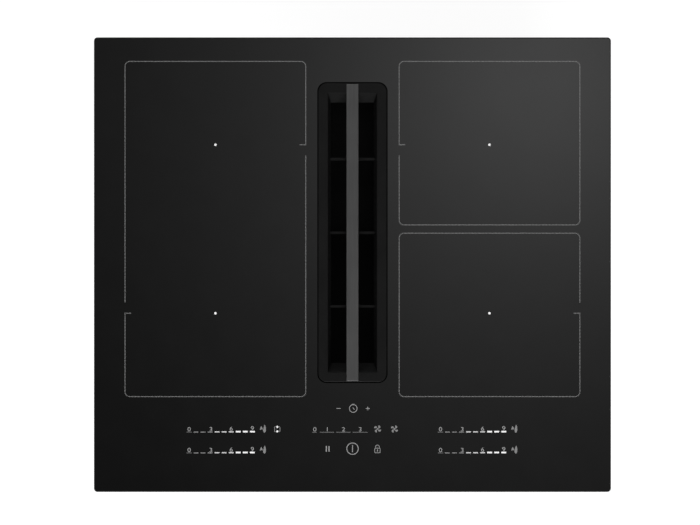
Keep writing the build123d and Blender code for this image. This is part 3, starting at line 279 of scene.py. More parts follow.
def shades(tree, factor, dark, pale):
    """Colour between two shades over the middle of a noise."""
    return ramp(tree, factor, [(NOISE_LOW, dark), (NOISE_HIGH, pale)])


def spread(tree, factor, low, high):
    """Maps the middle of a noise onto a range of values."""
    source = {"Value": factor, "From Min": NOISE_LOW, "From Max": NOISE_HIGH}
    return add_node(tree, "ShaderNodeMapRange", {**source, "To Min": low, "To Max": high}).outputs["Result"]


def grey(value):
    return (value, value, value)


def scaled(colour, factor):
    return tuple(channel * factor for channel in colour)


def surface(name, metallic=0.0, specular=0.5):
    """A new principled material, its node tree and its shader."""
    material = bpy.data.materials.new(name)
    material.use_nodes = True
    tree = material.node_tree
    shader = tree.nodes["Principled BSDF"]
    shader.inputs["Metallic"].default_value = metallic
    shader.inputs["Specular IOR Level"].default_value = specular
    return material, tree, shader


def dress(tree, shader, colour, roughness, height=None, depth=0.0):
    """Feeds the shader's colour, roughness and bump. Depth is in metres."""
    tree.links.new(colour, shader.inputs["Base Color"])
    tree.links.new(roughness, shader.inputs["Roughness"])
    if height is not None:
        bump = add_node(tree, "ShaderNodeBump", {"Height": height, "Strength": 1.0, "Distance": depth})
        tree.links.new(bump.outputs["Normal"], shader.inputs["Normal"])


def moulded(name, colour, roughness, grain=1800, depth=0.00002, mottle=0.15, specular=0.4):
    """Moulded plastic, ceramic or foam: eroded grain, and a slow drift of colour and gloss."""
    material, tree, shader = surface(name, specular=specular)
    drift = noise(tree, scale=22, detail=4)
    tone = shades(tree, drift, dark=scaled(colour, 1 - mottle), pale=scaled(colour, 1 + mottle))
    gloss = spread(tree, noise(tree, scale=160), low=roughness - 0.05, high=min(1.0, roughness + 0.07))
    dress(tree, shader, tone, gloss, noise(tree, scale=grain, detail=2), depth)
    return material


def drawn_metal(name, colour, roughness, stretch=(1, 1, 1), metallic=1.0):
    """Brushed or extruded metal, with fine lines along its stretched direction."""
    material, tree, shader = surface(name, metallic=metallic)
    lines = noise(tree, scale=900, detail=4, stretch=stretch)
    tone = shades(tree, lines, dark=scaled(colour, 0.86), pale=scaled(colour, 1.1))
    gloss = spread(tree, noise(tree, scale=40), low=roughness - 0.06, high=roughness + 0.08)
    dress(tree, shader, tone, gloss, lines, depth=0.000008)
    return material


def galvanised(name, colour):
    """Zinc-coated sheet: a spangle of coarse and fine crystals, and cloudy gloss."""
    material, tree, shader = surface(name, metallic=1.0)
    both = math_node(tree, "ADD", cells(tree, scale=170), cells(tree, scale=420))
    spangle = math_node(tree, "MULTIPLY", both, 0.5)
    tone = ramp(tree, spangle, [(0.2, scaled(colour, 0.94)), (0.8, scaled(colour, 1.06))])
    gloss = spread(tree, noise(tree, scale=60), low=0.4, high=0.52)
    dress(tree, shader, tone, gloss, noise(tree, scale=500, detail=2), depth=0.000006)
    return material


def black_glass(name):
    """Polished black glass ceramic with the faintest wiped haze."""
    material, tree, shader = surface(name)
    tone = shades(tree, noise(tree, scale=30, detail=2), dark=grey(0.0026), pale=grey(0.0034))
    gloss = spread(tree, noise(tree, scale=18, detail=5), low=0.045, high=0.08)
    dress(tree, shader, tone, gloss)
    return material


def ground_edge(name):
    """The glass plate's ground edge, matte and black."""
    material, tree, shader = surface(name, specular=0.04)
    tone = shades(tree, noise(tree, scale=300), dark=grey(0.0012), pale=grey(0.0026))
    gloss = spread(tree, noise(tree, scale=900, detail=2), low=0.45, high=0.6)
    dress(tree, shader, tone, gloss, noise(tree, scale=4000, detail=2), depth=0.00001)
    return material


def circuit_board(name):
    """Green solder mask over a net of copper tracks."""
    material, tree, shader = surface(name)
    inputs = {"Vector": place(tree), "Scale": 240.0}
    voronoi = add_node(tree, "ShaderNodeTexVoronoi", inputs, feature="DISTANCE_TO_EDGE")
    track = voronoi.outputs["Distance"]
    tone = ramp(tree, track, [(0.05, (0.02, 0.17, 0.06)), (0.09, (0.008, 0.07, 0.025))])
    gloss = spread(tree, noise(tree, scale=90), low=0.25, high=0.4)
    dress(tree, shader, tone, gloss, track, depth=0.00003)
    return material


def rounded_square_radius(tree, power=3):
    """Distance from a piece's middle, even along rounded squares, and 1 at the middles of its sides."""
    doubled = place(tree, stretch=(2, 2, 0), kind="Generated")
    centred = add_node(tree, "ShaderNodeVectorMath", {0: doubled, 1: (1, 1, 0)}, operation="SUBTRACT")
    axes = add_node(tree, "ShaderNodeSeparateXYZ", {"Vector": centred.outputs["Vector"]})
    reaches = [math_node(tree, "ABSOLUTE", axes.outputs[axis]) for axis in "XY"]
    powers = [math_node(tree, "POWER", reach, power) for reach in reaches]
    return math_node(tree, "POWER", math_node(tree, "ADD", *powers), 1 / power)


def coil_winding(name, turns=19):
    """Enamelled stranded wire wound in rounded squares, with painted shade in the grooves between the turns.
    """
    material, tree, shader = surface(name, metallic=0.7)
    angle = math_node(tree, "MULTIPLY", rounded_square_radius(tree), turns * 2 * math.pi)
    wave = math_node(tree, "SINE", angle)
    strands = math_node(tree, "ADD", wave, noise(tree, scale=1500, detail=2))
    # Painted shade: the copper colour darkens where the sine dips, in the grooves between the turns
    tone = ramp(tree, wave, [(0.0, (0.1, 0.03, 0.01)), (0.7, (0.5, 0.2, 0.09))])
    gloss = spread(tree, noise(tree, scale=300, detail=2), low=0.3, high=0.45)
    dress(tree, shader, tone, gloss, strands, depth=0.0004)
    return material


def mica_sheet(name):
    """Pressed mica: pale flakes."""
    material, tree, shader = surface(name, specular=0.3)
    flakes = cells(tree, scale=420)
    tone = ramp(tree, flakes, [(0.0, (0.42, 0.34, 0.2)), (1.0, (0.58, 0.5, 0.34))])
    gloss = spread(tree, flakes, low=0.35, high=0.6)
    dress(tree, shader, tone, gloss, flakes, depth=0.00002)
    return material


def screen_print(name, tone):
    """Ceramic ink, a little uneven where the screen's mesh left it."""
    material, tree, shader = surface(name, specular=0.3)
    mesh_marks = noise(tree, scale=1200, detail=2)
    colour = shades(tree, mesh_marks, dark=grey(tone * 0.88), pale=grey(tone * 1.06))
    gloss = spread(tree, noise(tree, scale=700, detail=2), low=0.45, high=0.6)
    dress(tree, shader, colour, gloss)
    return material


finishes = {
    "black_glass": black_glass("black_glass"),
    "grille_black": moulded("grille_black", grey(0.0066), roughness=0.5, specular=0.08),
    "bar_metal": drawn_metal("bar_metal", grey(0.0445), roughness=0.48, stretch=ALONG_Y, metallic=0.0),
    "black_plastic": moulded("black_plastic", grey(0.0065), roughness=0.5, specular=0.08),
    "seal_foam": moulded("seal_foam", grey(0.018), roughness=0.9, grain=900, depth=0.0001, specular=0.1),
    "filter_mesh": drawn_metal("filter_mesh", grey(0.6), roughness=0.35),
    "casing_steel": galvanised("casing_steel", (0.36, 0.365, 0.37)),
    "screw_steel": drawn_metal("screw_steel", (0.6, 0.6, 0.58), roughness=0.3),
    "pale_plastic": moulded("pale_plastic", (0.58, 0.56, 0.5), roughness=0.55),
    "circuit_board": circuit_board("circuit_board"),
    "sink_aluminium": drawn_metal("sink_aluminium", (0.68, 0.69, 0.7), roughness=0.35, stretch=ALONG_Y),
    "fan_black": moulded("fan_black", grey(0.013), roughness=0.42),
    "terminal_grey": moulded("terminal_grey", (0.3, 0.31, 0.32), roughness=0.5),
    "terminal_cream": moulded("terminal_cream", (0.7, 0.67, 0.55), roughness=0.38),
    "housing_grey": moulded("housing_grey", (0.042, 0.044, 0.047), roughness=0.5, grain=1200, depth=0.00004),
    "impeller_grey": moulded("impeller_grey", (0.1, 0.1, 0.11), roughness=0.45),
    "motor_steel": drawn_metal("motor_steel", (0.3, 0.3, 0.31), roughness=0.4),
    "tank_grey": moulded("tank_grey", (0.085, 0.09, 0.095), roughness=0.4, grain=1500, depth=0.000006),
    "mica": mica_sheet("mica"),
    "ferrite": moulded("ferrite", grey(0.045), roughness=0.6, grain=1500, depth=0.00004),
    "sensor_white": moulded("sensor_white", (0.78, 0.78, 0.75), roughness=0.4),
    "coil_winding": coil_winding("coil_winding"),
}
inks = {name: screen_print(f"print_{name}", tone) for name, tone in INK_TONES.items()}


def finish_nodes():
    """Gives each node the material of its slot in the record."""
    for part in frame["record"]["subparts"]:
        materials = frame["nodes"][part["node"]].data.materials
        materials.clear()
        materials.append(finishes[part["material_slot"]])


def finish_plate_edge():
    """The plate's bevel and sides are ground, and only its flat faces are polished."""
    plate = frame["nodes"]["glass_plate"].data
    plate.materials.append(ground_edge("ground_edge"))
    for polygon in plate.polygons:
        polygon.material_index = 0 if abs(polygon.normal.z) > FLAT_NORMAL else 1


finish_nodes()
finish_plate_edge()


def polar(middle, reach, degrees):
    """The point at so much reach from a middle, in degrees from +u."""
    turn = math.radians(degrees)
    return (middle[0] + reach * math.cos(turn), middle[1] + reach * math.sin(turn))


def arc(middle, radius, start, end, steps):
    """Points along an arc, in degrees from +u."""
    return [polar(middle, radius, start + (end - start) * i / steps) for i in range(steps + 1)]


def between(start, end, step):
    """Evenly spaced points from start up to just before end."""
    count = max(1, round(math.dist(start, end) / step))
    dx, dy = end[0] - start[0], end[1] - start[1]
    return [(start[0] + dx * i / count, start[1] + dy * i / count) for i in range(count)]


def rounded_box(x0, x1, y0, y1, radius, step):
    """Evenly spaced points round a rectangle with rounded corners."""
    middles = [
        (x1 - radius, y1 - radius),
        (x0 + radius, y1 - radius),
        (x0 + radius, y0 + radius),
        (x1 - radius, y0 + radius),
    ]
    steps = max(2, round(radius * math.pi / 2 / step))
    corners = [arc(middle, radius, 90 * i, 90 * i + 90, steps) for i, middle in enumerate(middles)]
    points = []
    for i, corner in enumerate(corners):
        points += between(corners[i - 1][-1], corner[0], step) + corner[:-1]
    return points


def smooth(points, steps=4):
    """A smooth closed curve through the points, with so many steps from one to the next."""
    knots = [Vector(spot) for spot in points]
    curve = []
    for i, start in enumerate(knots):
        end, beyond = (knots[(i + step) % len(knots)] for step in (1, 2))
        leave = start + (end - knots[i - 1]) / 6
        arrive = end - (beyond - start) / 6
        curve += interpolate_bezier(start, leave, arrive, end, steps + 1)[:-1]
    return curve


def glyph_mesh(text):
    """A numeral of the built-in font as a closed mesh."""
    curve = bpy.data.curves.new("numeral", "FONT")
    curve.body = text
    curve.align_x = "CENTER"
    curve.extrude = FONT_HALF_DEPTH
    holder = bpy.data.objects.new("numeral", curve)
    mesh = bpy.data.meshes.new_from_object(holder)
    bpy.data.objects.remove(holder)
    bpy.data.curves.remove(curve)
    welded = bmesh.new()
    welded.from_mesh(mesh)
    bmesh.ops.remove_doubles(welded, verts=welded.verts, dist=FONT_WELD)
    welded.to_mesh(mesh)
    welded.free()
    return mesh


class FlatWork:
    """Thin closed shapes laid on a plane. Points are (u, v) in millimetres, and to_frame sets the plane."""

    def __init__(self, thickness, to_frame):
        self.mesh = bmesh.new()
        self.thickness = thickness
        self.to_frame = to_frame
        self.lift = 0.0

    def point(self, spot, raised):
        """A new vertex on the low or the raised side."""
        height = self.lift + (self.thickness if raised else 0.0)
        return self.mesh.verts.new(Vector(self.to_frame(*spot, height)) * MM)

    def area(self, outline):
        """A filled shape."""
        low, high = ([self.point(spot, raised) for spot in outline] for raised in (False, True))
        self.mesh.faces.new(low)
        self.mesh.faces.new(high)
        for i in range(len(low)):
            self.mesh.faces.new((low[i - 1], low[i], high[i], high[i - 1]))

    def ribbon(self, left, right, closed=False):
        """A strip between two lines with as many points each."""
        sides = ((left, False), (left, True), (right, True), (right, False))
        rows = [[self.point(spot, raised) for spot in line] for line, raised in sides]
        for i in range(0 if closed else 1, len(left)):
            for j in range(len(rows)):
                first, second = rows[j - 1], rows[j]
                self.mesh.faces.new((first[i - 1], first[i], second[i], second[i - 1]))
        if not closed:
            self.mesh.faces.new([row[0] for row in rows])
            self.mesh.faces.new([row[-1] for row in rows])

    def stroke(self, points, width, closed=False):
        """A line of even width through the points."""
        path = [Vector(spot) for spot in points]
        left, right = [], []
        for i, spot in enumerate(path):
            before = path[i - 1] if closed or i else spot
            after = path[(i + 1) % len(path)] if closed or i + 1 < len(path) else spot
            along = (after - before).normalized()
            across = Vector((-along.y, along.x)) * width / 2
            left.append(spot + across)
            right.append(spot - across)
        self.ribbon(left, right, closed)

    def bar(self, middle, width, height):
        """An upright rectangle."""
        x, y = middle
        dx, dy = width / 2, height / 2
        self.area([(x - dx, y - dy), (x + dx, y - dy), (x + dx, y + dy), (x - dx, y + dy)])

    def dot(self, middle, radius, sides=24):
        """A filled circle."""
        self.area(arc(middle, radius, 0, 360, sides)[:-1])

    def ring(self, middle, radius, width, sides=48):
        """A round line."""
        self.stroke(arc(middle, radius, 0, 360, sides)[:-1], width, closed=True)

    def digit(self, text, foot, height):
        """A plain numeral, centred over its foot."""
        mesh = glyph_mesh(text)
        scale = height / max(vertex.co.y for vertex in mesh.vertices)
        for vertex in mesh.vertices:
            u, v, w = vertex.co
            spot = (foot[0] + u * DIGIT_STRETCH * scale, foot[1] + v * scale)
            vertex.co = Vector(self.to_frame(*spot, self.thickness * (w + FONT_HALF_DEPTH))) * MM
        self.mesh.from_mesh(mesh)
        bpy.data.meshes.remove(mesh)

    def finish(self, name, material, body):
        """Turns the shapes into one piece that rides on a body."""
        piece = piece_from(self.mesh, name, material)
        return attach(piece, body)


def piece_from(mesh, name, material):
    """An object of a finished bmesh, with its faces turned outwards."""
    bmesh.ops.recalc_face_normals(mesh, faces=mesh.faces)
    data = bpy.data.meshes.new(name)
    mesh.to_mesh(data)
    mesh.free()
    data.materials.append(material)
    piece = bpy.data.objects.new(name, data)
    bpy.context.scene.collection.objects.link(piece)
    return piece


def printing():
    """Flat work printed on the glass."""
    return FlatWork(INK_THICKNESS, lambda u, v, height: (u, v, glass_top + height))


def zone_outline(name, box, breaks):
    """A dotted outline. Each break is (edge x, tick y): a tick inwards, and a gap towards the other coil."""
    x0, x1, y0, y1 = box
    between_coils = (COIL_MARK_REAR + COIL_MARK_FRONT) / 2
    dots = rounded_box(x0, x1, y0, y1, ZONE_CORNER, ZONE_DOT_PITCH)
    for edge, tick in breaks:
        inward = 1 if edge == x0 else -1
        low, high = sorted((tick, tick + math.copysign(ZONE_BREAK, between_coils - tick)))
        dots = [(x, y) for x, y in dots if abs(x - edge) > ZONE_DOT_RADIUS or not low < y < high]
        dots = [spot for spot in dots if math.dist(spot, (edge, tick)) > 2 * ZONE_DOT_RADIUS]
        dots += between((edge, tick), (edge + inward * ZONE_TICK, tick), ZONE_DOT_PITCH)
    work = printing()
    for spot in dots:
        work.dot(spot, ZONE_DOT_RADIUS, ZONE_DOT_SIDES)
    work.finish(name, inks["dim"], "hob")


def cooking_zones():
    """One long zone on the left and two on the right, with a break beside each tick."""
    zone_outline(
        "print_zone_left",
        (-ZONE_OUTER, -ZONE_INNER, ZONE_FRONT, ZONE_REAR),
        [(-ZONE_INNER, COIL_MARK_REAR), (-ZONE_OUTER, COIL_MARK_FRONT)],
    )
    zone_outline(
        "print_zone_right_rear",
        (ZONE_INNER, ZONE_OUTER, ZONE_RIGHT_REAR_EDGE, ZONE_REAR),
        [(ZONE_INNER, COIL_MARK_REAR)],
    )
    zone_outline(
        "print_zone_right_front",
        (ZONE_INNER, ZONE_OUTER, ZONE_FRONT, ZONE_RIGHT_FRONT_EDGE),
        [(ZONE_OUTER, COIL_MARK_FRONT)],
    )


def coil_marks():
    """A dot over the middle of each coil."""
    work = printing()
    for x in (-COIL_MARK_X, COIL_MARK_X):
        for y in (COIL_MARK_REAR, COIL_MARK_FRONT):
            work.dot((x, y), COIL_MARK_RADIUS)
    work.finish("print_coil_marks", inks["white"], "hob")


def dash_middle(number):
    """Distance from the zero line's middle to a dash's. The zero line is number 0."""
    if number == 0:
        return 0.0
    return SLIDER_DASH_START + (number - 1) * SLIDER_DASH_PITCH + SLIDER_DASH_LENGTH / 2


def slider_dashes(name, x, y):
    """The dashes, with one piece for each weight."""
    for group, (thickness, tone) in enumerate(SLIDER_WEIGHTS):
        work = printing()
        for i in range(SLIDER_DASHES_PER_WEIGHT):
            middle = dash_middle(group * SLIDER_DASHES_PER_WEIGHT + i + 1)
            work.bar((x + middle, y + thickness / 2), SLIDER_DASH_LENGTH, thickness)
        work.finish(f"{name}_dashes_{group + 1}", inks[tone], "hob")


def slider_digits(name, x, y):
    """Zero, and a digit over the last dash of each weight."""
    work = printing()
    for text, shift in SLIDER_DIGIT_SHIFTS.items():
        number = int(text)
        thickness, _ = SLIDER_WEIGHTS[max(0, number - 1) // SLIDER_DASHES_PER_WEIGHT]
        foot = (x + dash_middle(number) + shift, y + thickness + SLIDER_DIGIT_LIFT)
        work.digit(text, foot, DIGIT_HEIGHT)
    work.finish(f"{name}_digits", inks["pale"], "hob")


def slider(name, x, y):
    """A power slider from zero to nine, and its boost sign of two flames."""
    slider_dashes(name, x, y)
    work = printing()
    work.bar((x, y + LINE_WIDTH / 2), SLIDER_ZERO_LENGTH, LINE_WIDTH)
    work.finish(f"{name}_zero_line", inks["faint"], "hob")
    slider_digits(name, x, y)
    work = printing()
    for flame in BOOST_FLAMES:
        work.area([(x + BOOST_X + u, y + v) for u, v in smooth(flame)])
    work.finish(f"{name}_boost", inks["dim"], "hob")


def bridge_key():
    """Two dots between a pair of brackets."""
    x, y = BRIDGE_KEY
    quarter = arc(BRIDGE_BEND, BRIDGE_BEND_RADIUS, 90, 0, BRIDGE_BEND_STEPS)
    bracket = quarter + [(u, -v) for u, v in reversed(quarter)]
    work = printing()
    for side in (-1, 1):
        work.stroke([(x + side * u, y + v) for u, v in bracket], BRIDGE_LINE)
    work.finish("print_bridge_brackets", inks["dim"], "hob")
    work = printing()
    for side in (-1, 1):
        work.dot((x, y + side * BRIDGE_DOT_Y), BRIDGE_DOT_RADIUS)
    work.finish("print_bridge_dots", inks["white"], "hob")


def timer_keys():
    """Minus, a clock with a knob on top, and plus."""
    work = printing()
    work.bar((TIMER_MINUS_X, TIMER_Y), TIMER_MINUS_WIDTH, LINE_WIDTH)
    work.ring((TIMER_CLOCK_X, TIMER_Y), TIMER_CLOCK_RADIUS, LINE_WIDTH)
    work.stroke([(TIMER_CLOCK_X + u, TIMER_Y + v) for u, v in TIMER_CLOCK_HANDS], FINE_LINE)
    work.bar((TIMER_CLOCK_X, TIMER_Y + TIMER_KNOB_Y), *TIMER_KNOB_SIZE)
    work.bar((TIMER_PLUS_X, TIMER_Y), TIMER_PLUS_WIDTH, LINE_WIDTH)
    for side in (-1, 1):
        work.bar((TIMER_PLUS_X, TIMER_Y + side * TIMER_PLUS_ARM_Y), *TIMER_PLUS_ARM_SIZE)
    work.finish("print_timer_keys", inks["pale"], "hob")


def fan_scale():
    """The extractor's scale: a line under each digit."""
    work = printing()
    for start, end in FAN_SCALE_LINES:
        work.bar(((start + end) / 2, FAN_SCALE_Y), end - start, LINE_WIDTH)
    work.finish("print_fan_scale", inks["faint"], "hob")
    work = printing()
    for text, x in FAN_DIGIT_X.items():
        work.digit(text, (x, FAN_SCALE_Y + FAN_DIGIT_LIFT), DIGIT_HEIGHT)
    work.finish("print_fan_digits", inks["pale"], "hob")


def fan_keys():
    """Two fans with four broad blades each."""
    work = printing()
    for middle, hub in FAN_KEY_HUBS.items():
        for turn in FAN_BLADE_TURNS:
            work.area(smooth(polar(middle, reach, turn + bend) for reach, bend in FAN_BLADE))
        work.dot(middle, hub)
    work.finish("print_fan_keys", inks["dim"], "hob")


def padlock(work, x, y):
    """A rounded body with a keyhole, and a shackle on top."""
    sides = (x - LOCK_HALF_WIDTH, x + LOCK_HALF_WIDTH)
    body = rounded_box(*sides, y + LOCK_FOOT, y + LOCK_TOP, LOCK_CORNER, LOCK_CORNER_STEP)
    work.stroke(body, FINE_LINE, closed=True)
    bow = arc((x, y + LOCK_SHACKLE_Y), LOCK_SHACKLE_RADIUS, 0, 180, LOCK_SHACKLE_STEPS)
    right, left = ((x + side * LOCK_SHACKLE_RADIUS, y + LOCK_SHACKLE_ROOT) for side in (1, -1))
    work.stroke([right, *bow, left], FINE_LINE)
    work.bar((x, y + LOCK_KEYHOLE_Y), *LOCK_KEYHOLE_SIZE)


def main_keys():
    """Pause, power and lock."""
    work = printing()
    for side in (-1, 1):
        work.bar((PAUSE_KEY[0] + side * PAUSE_BAR_X, PAUSE_KEY[1]), *PAUSE_BAR_SIZE)
    work.ring(POWER_KEY, POWER_RADIUS, POWER_LINE)
    work.bar(POWER_KEY, *POWER_BAR_SIZE)
    padlock(work, *LOCK_KEY)
    work.finish("print_main_keys", inks["pale"], "hob")


cooking_zones()
coil_marks()
for side, x in SLIDER_SIDES.items():
    for row, y in SLIDER_ROWS.items():
        slider(f"print_slider_{side}_{row}", x, y)
bridge_key()
timer_keys()
fan_scale()
fan_keys()
main_keys()


def stretched_layer(low, high, x, shift):
    """Zigzag strands that cross in diamonds, over the inside of a filter's frame."""
    y0, y1 = low.y + FRAME_WIDTH / 2, high.y - FRAME_WIDTH / 2
    z0, z1 = low.z + FRAME_WIDTH / 2 + shift, high.z - FRAME_WIDTH / 2
    work = FlatWork(STRAND_THICKNESS, lambda u, v, height: (x + height, u, v))
    half = STRAND_LENGTH / 2
    spots = range(int((y1 - y0) / half) + 1)
    for row in range(int((z1 - z0) / STRAND_PITCH)):
        for phase in (0, 1):
            work.lift = phase * STRAND_LIFT
            rises = [z0 + (row + (i + phase) % 2 / 2) * STRAND_PITCH for i in spots]
            work.stroke([(y0 + i * half, z) for i, z in zip(spots, rises)], STRAND_WIDTH)
    return work


def filter_frame(name, low, high):
    """A filter's folded frame."""
    border = FlatWork(high.x - low.x, lambda u, v, height: (low.x + height, u, v))
    outlines = []
    for inset in (0.0, FRAME_WIDTH):
        y0, y1 = low.y + inset, high.y - inset
        z0, z1 = low.z + inset, high.z - inset
        outlines.append([(y0, z0), (y1, z0), (y1, z1), (y0, z1)])
    border.ribbon(*outlines, closed=True)
    piece = border.finish(name, finishes["filter_mesh"], "cassette")
    fold = piece.modifiers.new("fold", "BEVEL")
    fold.width = FRAME_FOLD * MM
    fold.segments = FRAME_FOLD_SEGMENTS
    return piece


def grease_filter(side):
    """A frame in place of the plain solid, and two layers, the second shifted by half a pitch."""
    node = f"grease_filter_{side}"
    low, high = (corner / MM for corner in node_boxes[node])
    piece = filter_frame(f"filter_frame_{side}", low, high)
    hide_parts(node)
    middle = (low.x + high.x) / 2
    for layer, shift in ((-1, 0.0), (1, STRAND_PITCH / 2)):
        mesh = stretched_layer(low, high, middle + layer * LAYER_OFFSET - STRAND_THICKNESS / 2, shift)
        name = f"filter_mesh_{side}_{'inner' if layer * middle < 0 else 'outer'}"
        mesh.finish(name, finishes["filter_mesh"], "cassette")


grease_filter("left")
grease_filter("right")


def linked_group(vertex, remaining):
    """Takes a vertex's whole solid out of the remaining vertices."""
    group, waiting = [], [vertex]
    remaining.remove(vertex)
    while waiting:
        vertex = waiting.pop()
        group.append(vertex)
        for edge in vertex.link_edges:
            other = edge.other_vert(vertex)
            if other in remaining:
                remaining.remove(other)
                waiting.append(other)
    return group


def solids_of(node):
    """The box of each separate solid in a node, as (lowest, highest) corners in metres."""
    mesh = bmesh.new()
    mesh.from_mesh(frame["nodes"][node].data)
    bmesh.ops.remove_doubles(mesh, verts=mesh.verts, dist=SOLID_WELD * MM)
    remaining, boxes = set(mesh.verts), []
    while remaining:
        group = linked_group(next(iter(remaining)), remaining)
        axes = list(zip(*(vertex.co for vertex in group)))
        boxes.append((Vector(map(min, axes)), Vector(map(max, axes))))
    mesh.free()
    return sorted(boxes, key=lambda box: tuple(round(value, 5) for value in box[0]))


def screw_rings(low, high, head, shank):
    """Rings from the drive's floor, over the rounded head and up the shank: (height, radius, lobe)."""
    radius = (high.x - low.x) / 2
    drive = radius * DRIVE_RADIUS
    crown = []
    for turn in map(math.radians, CROWN_TURNS):
        rise = head * CROWN_HEIGHT * (1 - math.cos(turn))
        crown.append((low.z + rise, radius * (CROWN_FLAT + (1 - CROWN_FLAT) * math.sin(turn)), 0.0))
    return [
        (low.z + head * DRIVE_DEPTH, drive, DRIVE_LOBE_HEIGHT),
        (low.z, drive, DRIVE_LOBE_HEIGHT),
        *crown,
        (low.z + head, radius, 0.0),
        (low.z + head, shank, 0.0),
        (high.z, shank, 0.0),
    ]


def add_screw(mesh, low, high, head, shank):
    """One closed screw, head down, in the box of a plain one."""
    middle = ((low.x + high.x) / 2, (low.y + high.y) / 2)
    turns = [360 * i / SCREW_SIDES for i in range(SCREW_SIDES)]
    rings = []
    for z, radius, lobe in screw_rings(low, high, head, shank):
        reaches = [radius * (1 + lobe * math.cos(DRIVE_LOBES * math.radians(turn))) for turn in turns]
        spots = [polar(middle, reach, turn) for reach, turn in zip(reaches, turns)]
        rings.append([mesh.verts.new((*spot, z)) for spot in spots])
    for first, second in zip(rings, rings[1:]):
        for i in range(SCREW_SIDES):
            mesh.faces.new((first[i - 1], first[i], second[i], second[i - 1]))
    mesh.faces.new(rings[0])
    mesh.faces.new(rings[-1])


def screws(node, body, head, shank):
    """Round-headed screws with a lobed drive, in place of a node of plain ones."""
    mesh = bmesh.new()
    for low, high in solids_of(node):
        add_screw(mesh, low, high, head * MM, shank * MM)
    piece = piece_from(mesh, f"{node}_detailed", finishes["screw_steel"])
    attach(piece, body)
    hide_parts(node)


screws("housing_screws", "hob", head=2.4, shank=2.0)
screws("bar_screws", "grille", head=2.0, shank=1.5)


def plane_object(name, size, height, material):
    """A level square of the stage."""
    half = size / 2
    corners = [(-half, -half, height), (half, -half, height), (half, half, height), (-half, half, height)]
    mesh = bpy.data.meshes.new(name)
    mesh.from_pydata(corners, [], [(0, 1, 2, 3)])
    mesh.materials.append(material)
    made = bpy.data.objects.new(name, mesh)
    bpy.context.scene.collection.objects.link(made)
    return made


def empty_material(name):
    """A new material without nodes, and its node tree."""
    material = bpy.data.materials.new(name)
    material.use_nodes = True
    material.node_tree.nodes.clear()
    return material, material.node_tree


def seen_directly(tree):
    """One for camera, glossy and transmission rays."""
    path = add_node(tree, "ShaderNodeLightPath")
    either = math_node(tree, "MAXIMUM", path.outputs["Is Camera Ray"], path.outputs["Is Glossy Ray"])
    return math_node(tree, "MAXIMUM", either, path.outputs["Is Transmission Ray"])


def mixed(tree, factor, first, second):
    """The first shader where the factor is 0, and the second where it is 1."""
    inputs = {0: factor, 1: first.outputs[0], 2: second.outputs[0]}
    return add_node(tree, "ShaderNodeMixShader", inputs)


def white_floor():
    """A white floor that keeps a soft shadow, and is clear from below."""
    material, tree = empty_material("white_floor")
    lit = add_node(tree, "ShaderNodeBsdfDiffuse", {"Color": (*grey(FLOOR_LIT), 1)})
    shade = add_node(tree, "ShaderNodeBsdfDiffuse", {"Color": (*grey(FLOOR_SEEN), 1)})
    glow = add_node(tree, "ShaderNodeEmission", {"Color": WHITE, "Strength": FLOOR_GLOW})
    shown = add_node(tree, "ShaderNodeAddShader", {0: shade.outputs[0], 1: glow.outputs[0]})
    top = mixed(tree, seen_directly(tree), lit, shown)
    clear = add_node(tree, "ShaderNodeBsdfTransparent")
    from_below = add_node(tree, "ShaderNodeNewGeometry").outputs["Backfacing"]
    both = mixed(tree, from_below, top, clear)
    add_node(tree, "ShaderNodeOutputMaterial", {"Surface": both.outputs[0]})
    plane_object("floor", FLOOR_SIZE, cad_low.z - FLOOR_DROP, material)


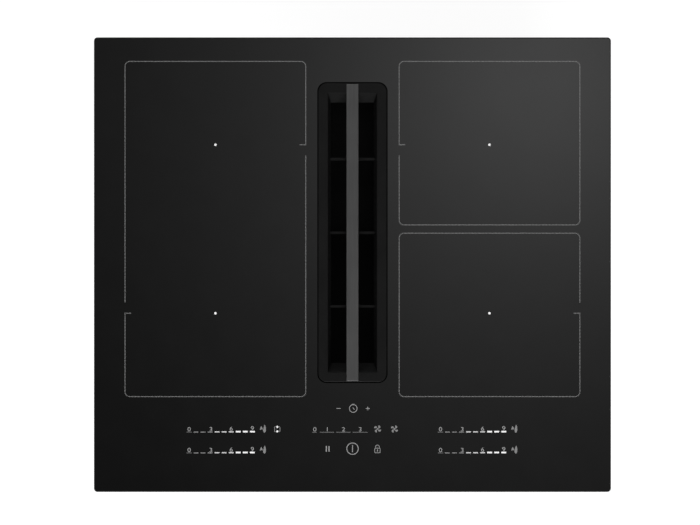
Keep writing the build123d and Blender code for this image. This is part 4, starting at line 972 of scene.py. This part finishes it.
def card_glow(height):
    """A soft bell of light, placed so that the camera sees it in the glass at the glow's centre."""
    material, tree = empty_material("overhead_card")
    spread_out = 1 + CARD_HEIGHT / CAMERA_DISTANCE
    x, y = (value * MM * spread_out for value in GLOW_CENTRE)
    inputs = {0: place(tree), 1: (x, y, height)}
    distance = add_node(tree, "ShaderNodeVectorMath", inputs, operation="DISTANCE").outputs["Value"]
    share = math_node(tree, "DIVIDE", distance, GLOW_WIDTH * MM * spread_out)
    fall = math_node(tree, "ADD", math_node(tree, "POWER", share, GLOW_POWER), 1.0)
    bell = math_node(tree, "DIVIDE", 1.0, fall)
    inputs = {"Value": bell, "From Min": GLOW_FOOT, "To Max": GLOW_STRENGTH}
    light = add_node(tree, "ShaderNodeMapRange", inputs).outputs["Result"]
    glow = add_node(tree, "ShaderNodeEmission", {"Color": WHITE, "Strength": light})
    add_node(tree, "ShaderNodeOutputMaterial", {"Surface": glow.outputs[0]})
    return material


def overhead_card():
    """A dark card with one soft glow, for the glass to reflect."""
    height = glass_top * MM + CARD_HEIGHT
    card = plane_object("overhead_card", CARD_SIZE, height, card_glow(height))
    card.visible_camera = False
    card.visible_diffuse = False
    card.visible_shadow = False


def studio_world():
    """White where it is seen or mirrored, and a soft grey fill elsewhere."""
    world = bpy.data.worlds.new("studio")
    world.use_nodes = True
    tree = world.node_tree
    tree.nodes.clear()
    inputs = {"Value": seen_directly(tree), "To Min": WORLD_FILL, "To Max": 1.0}
    strength = add_node(tree, "ShaderNodeMapRange", inputs).outputs["Result"]
    fill = add_node(tree, "ShaderNodeBackground", {"Color": WHITE, "Strength": strength})
    add_node(tree, "ShaderNodeOutputWorld", {"Surface": fill.outputs[0]})
    bpy.context.scene.world = world


def softbox(name, location, size, power):
    """A square area light that faces the part."""
    light = bpy.data.lights.new(name, "AREA")
    light.size = size
    light.energy = power
    lamp = bpy.data.objects.new(name, light)
    lamp.location = location
    lamp.rotation_euler = (-Vector(location)).to_track_quat("-Z", "Y").to_euler()
    bpy.context.scene.collection.objects.link(lamp)


def camera_above():
    """The photograph's view: straight down, with the glass's centre on its pixel."""
    camera = bpy.data.cameras.new("camera")
    camera.sensor_width = SENSOR_WIDTH
    metres_per_pixel = MM / PIXELS_PER_MM
    camera.lens = SENSOR_WIDTH * CAMERA_DISTANCE / (PHOTO_SIZE[0] * metres_per_pixel)
    holder = bpy.data.objects.new("camera", camera)
    across = (PHOTO_SIZE[0] - 1) / 2 - PHOTO_CENTRE[0]
    along = PHOTO_CENTRE[1] - (PHOTO_SIZE[1] - 1) / 2
    height = glass_top * MM + CAMERA_DISTANCE
    holder.location = (across * metres_per_pixel, along * metres_per_pixel, height)
    bpy.context.scene.collection.objects.link(holder)
    bpy.context.scene.camera = holder


white_floor()
overhead_card()
studio_world()
for name, (location, size, power) in LAMPS.items():
    softbox(name, location, size, power)
camera_above()
bpy.context.scene.view_settings.view_transform = "Standard"
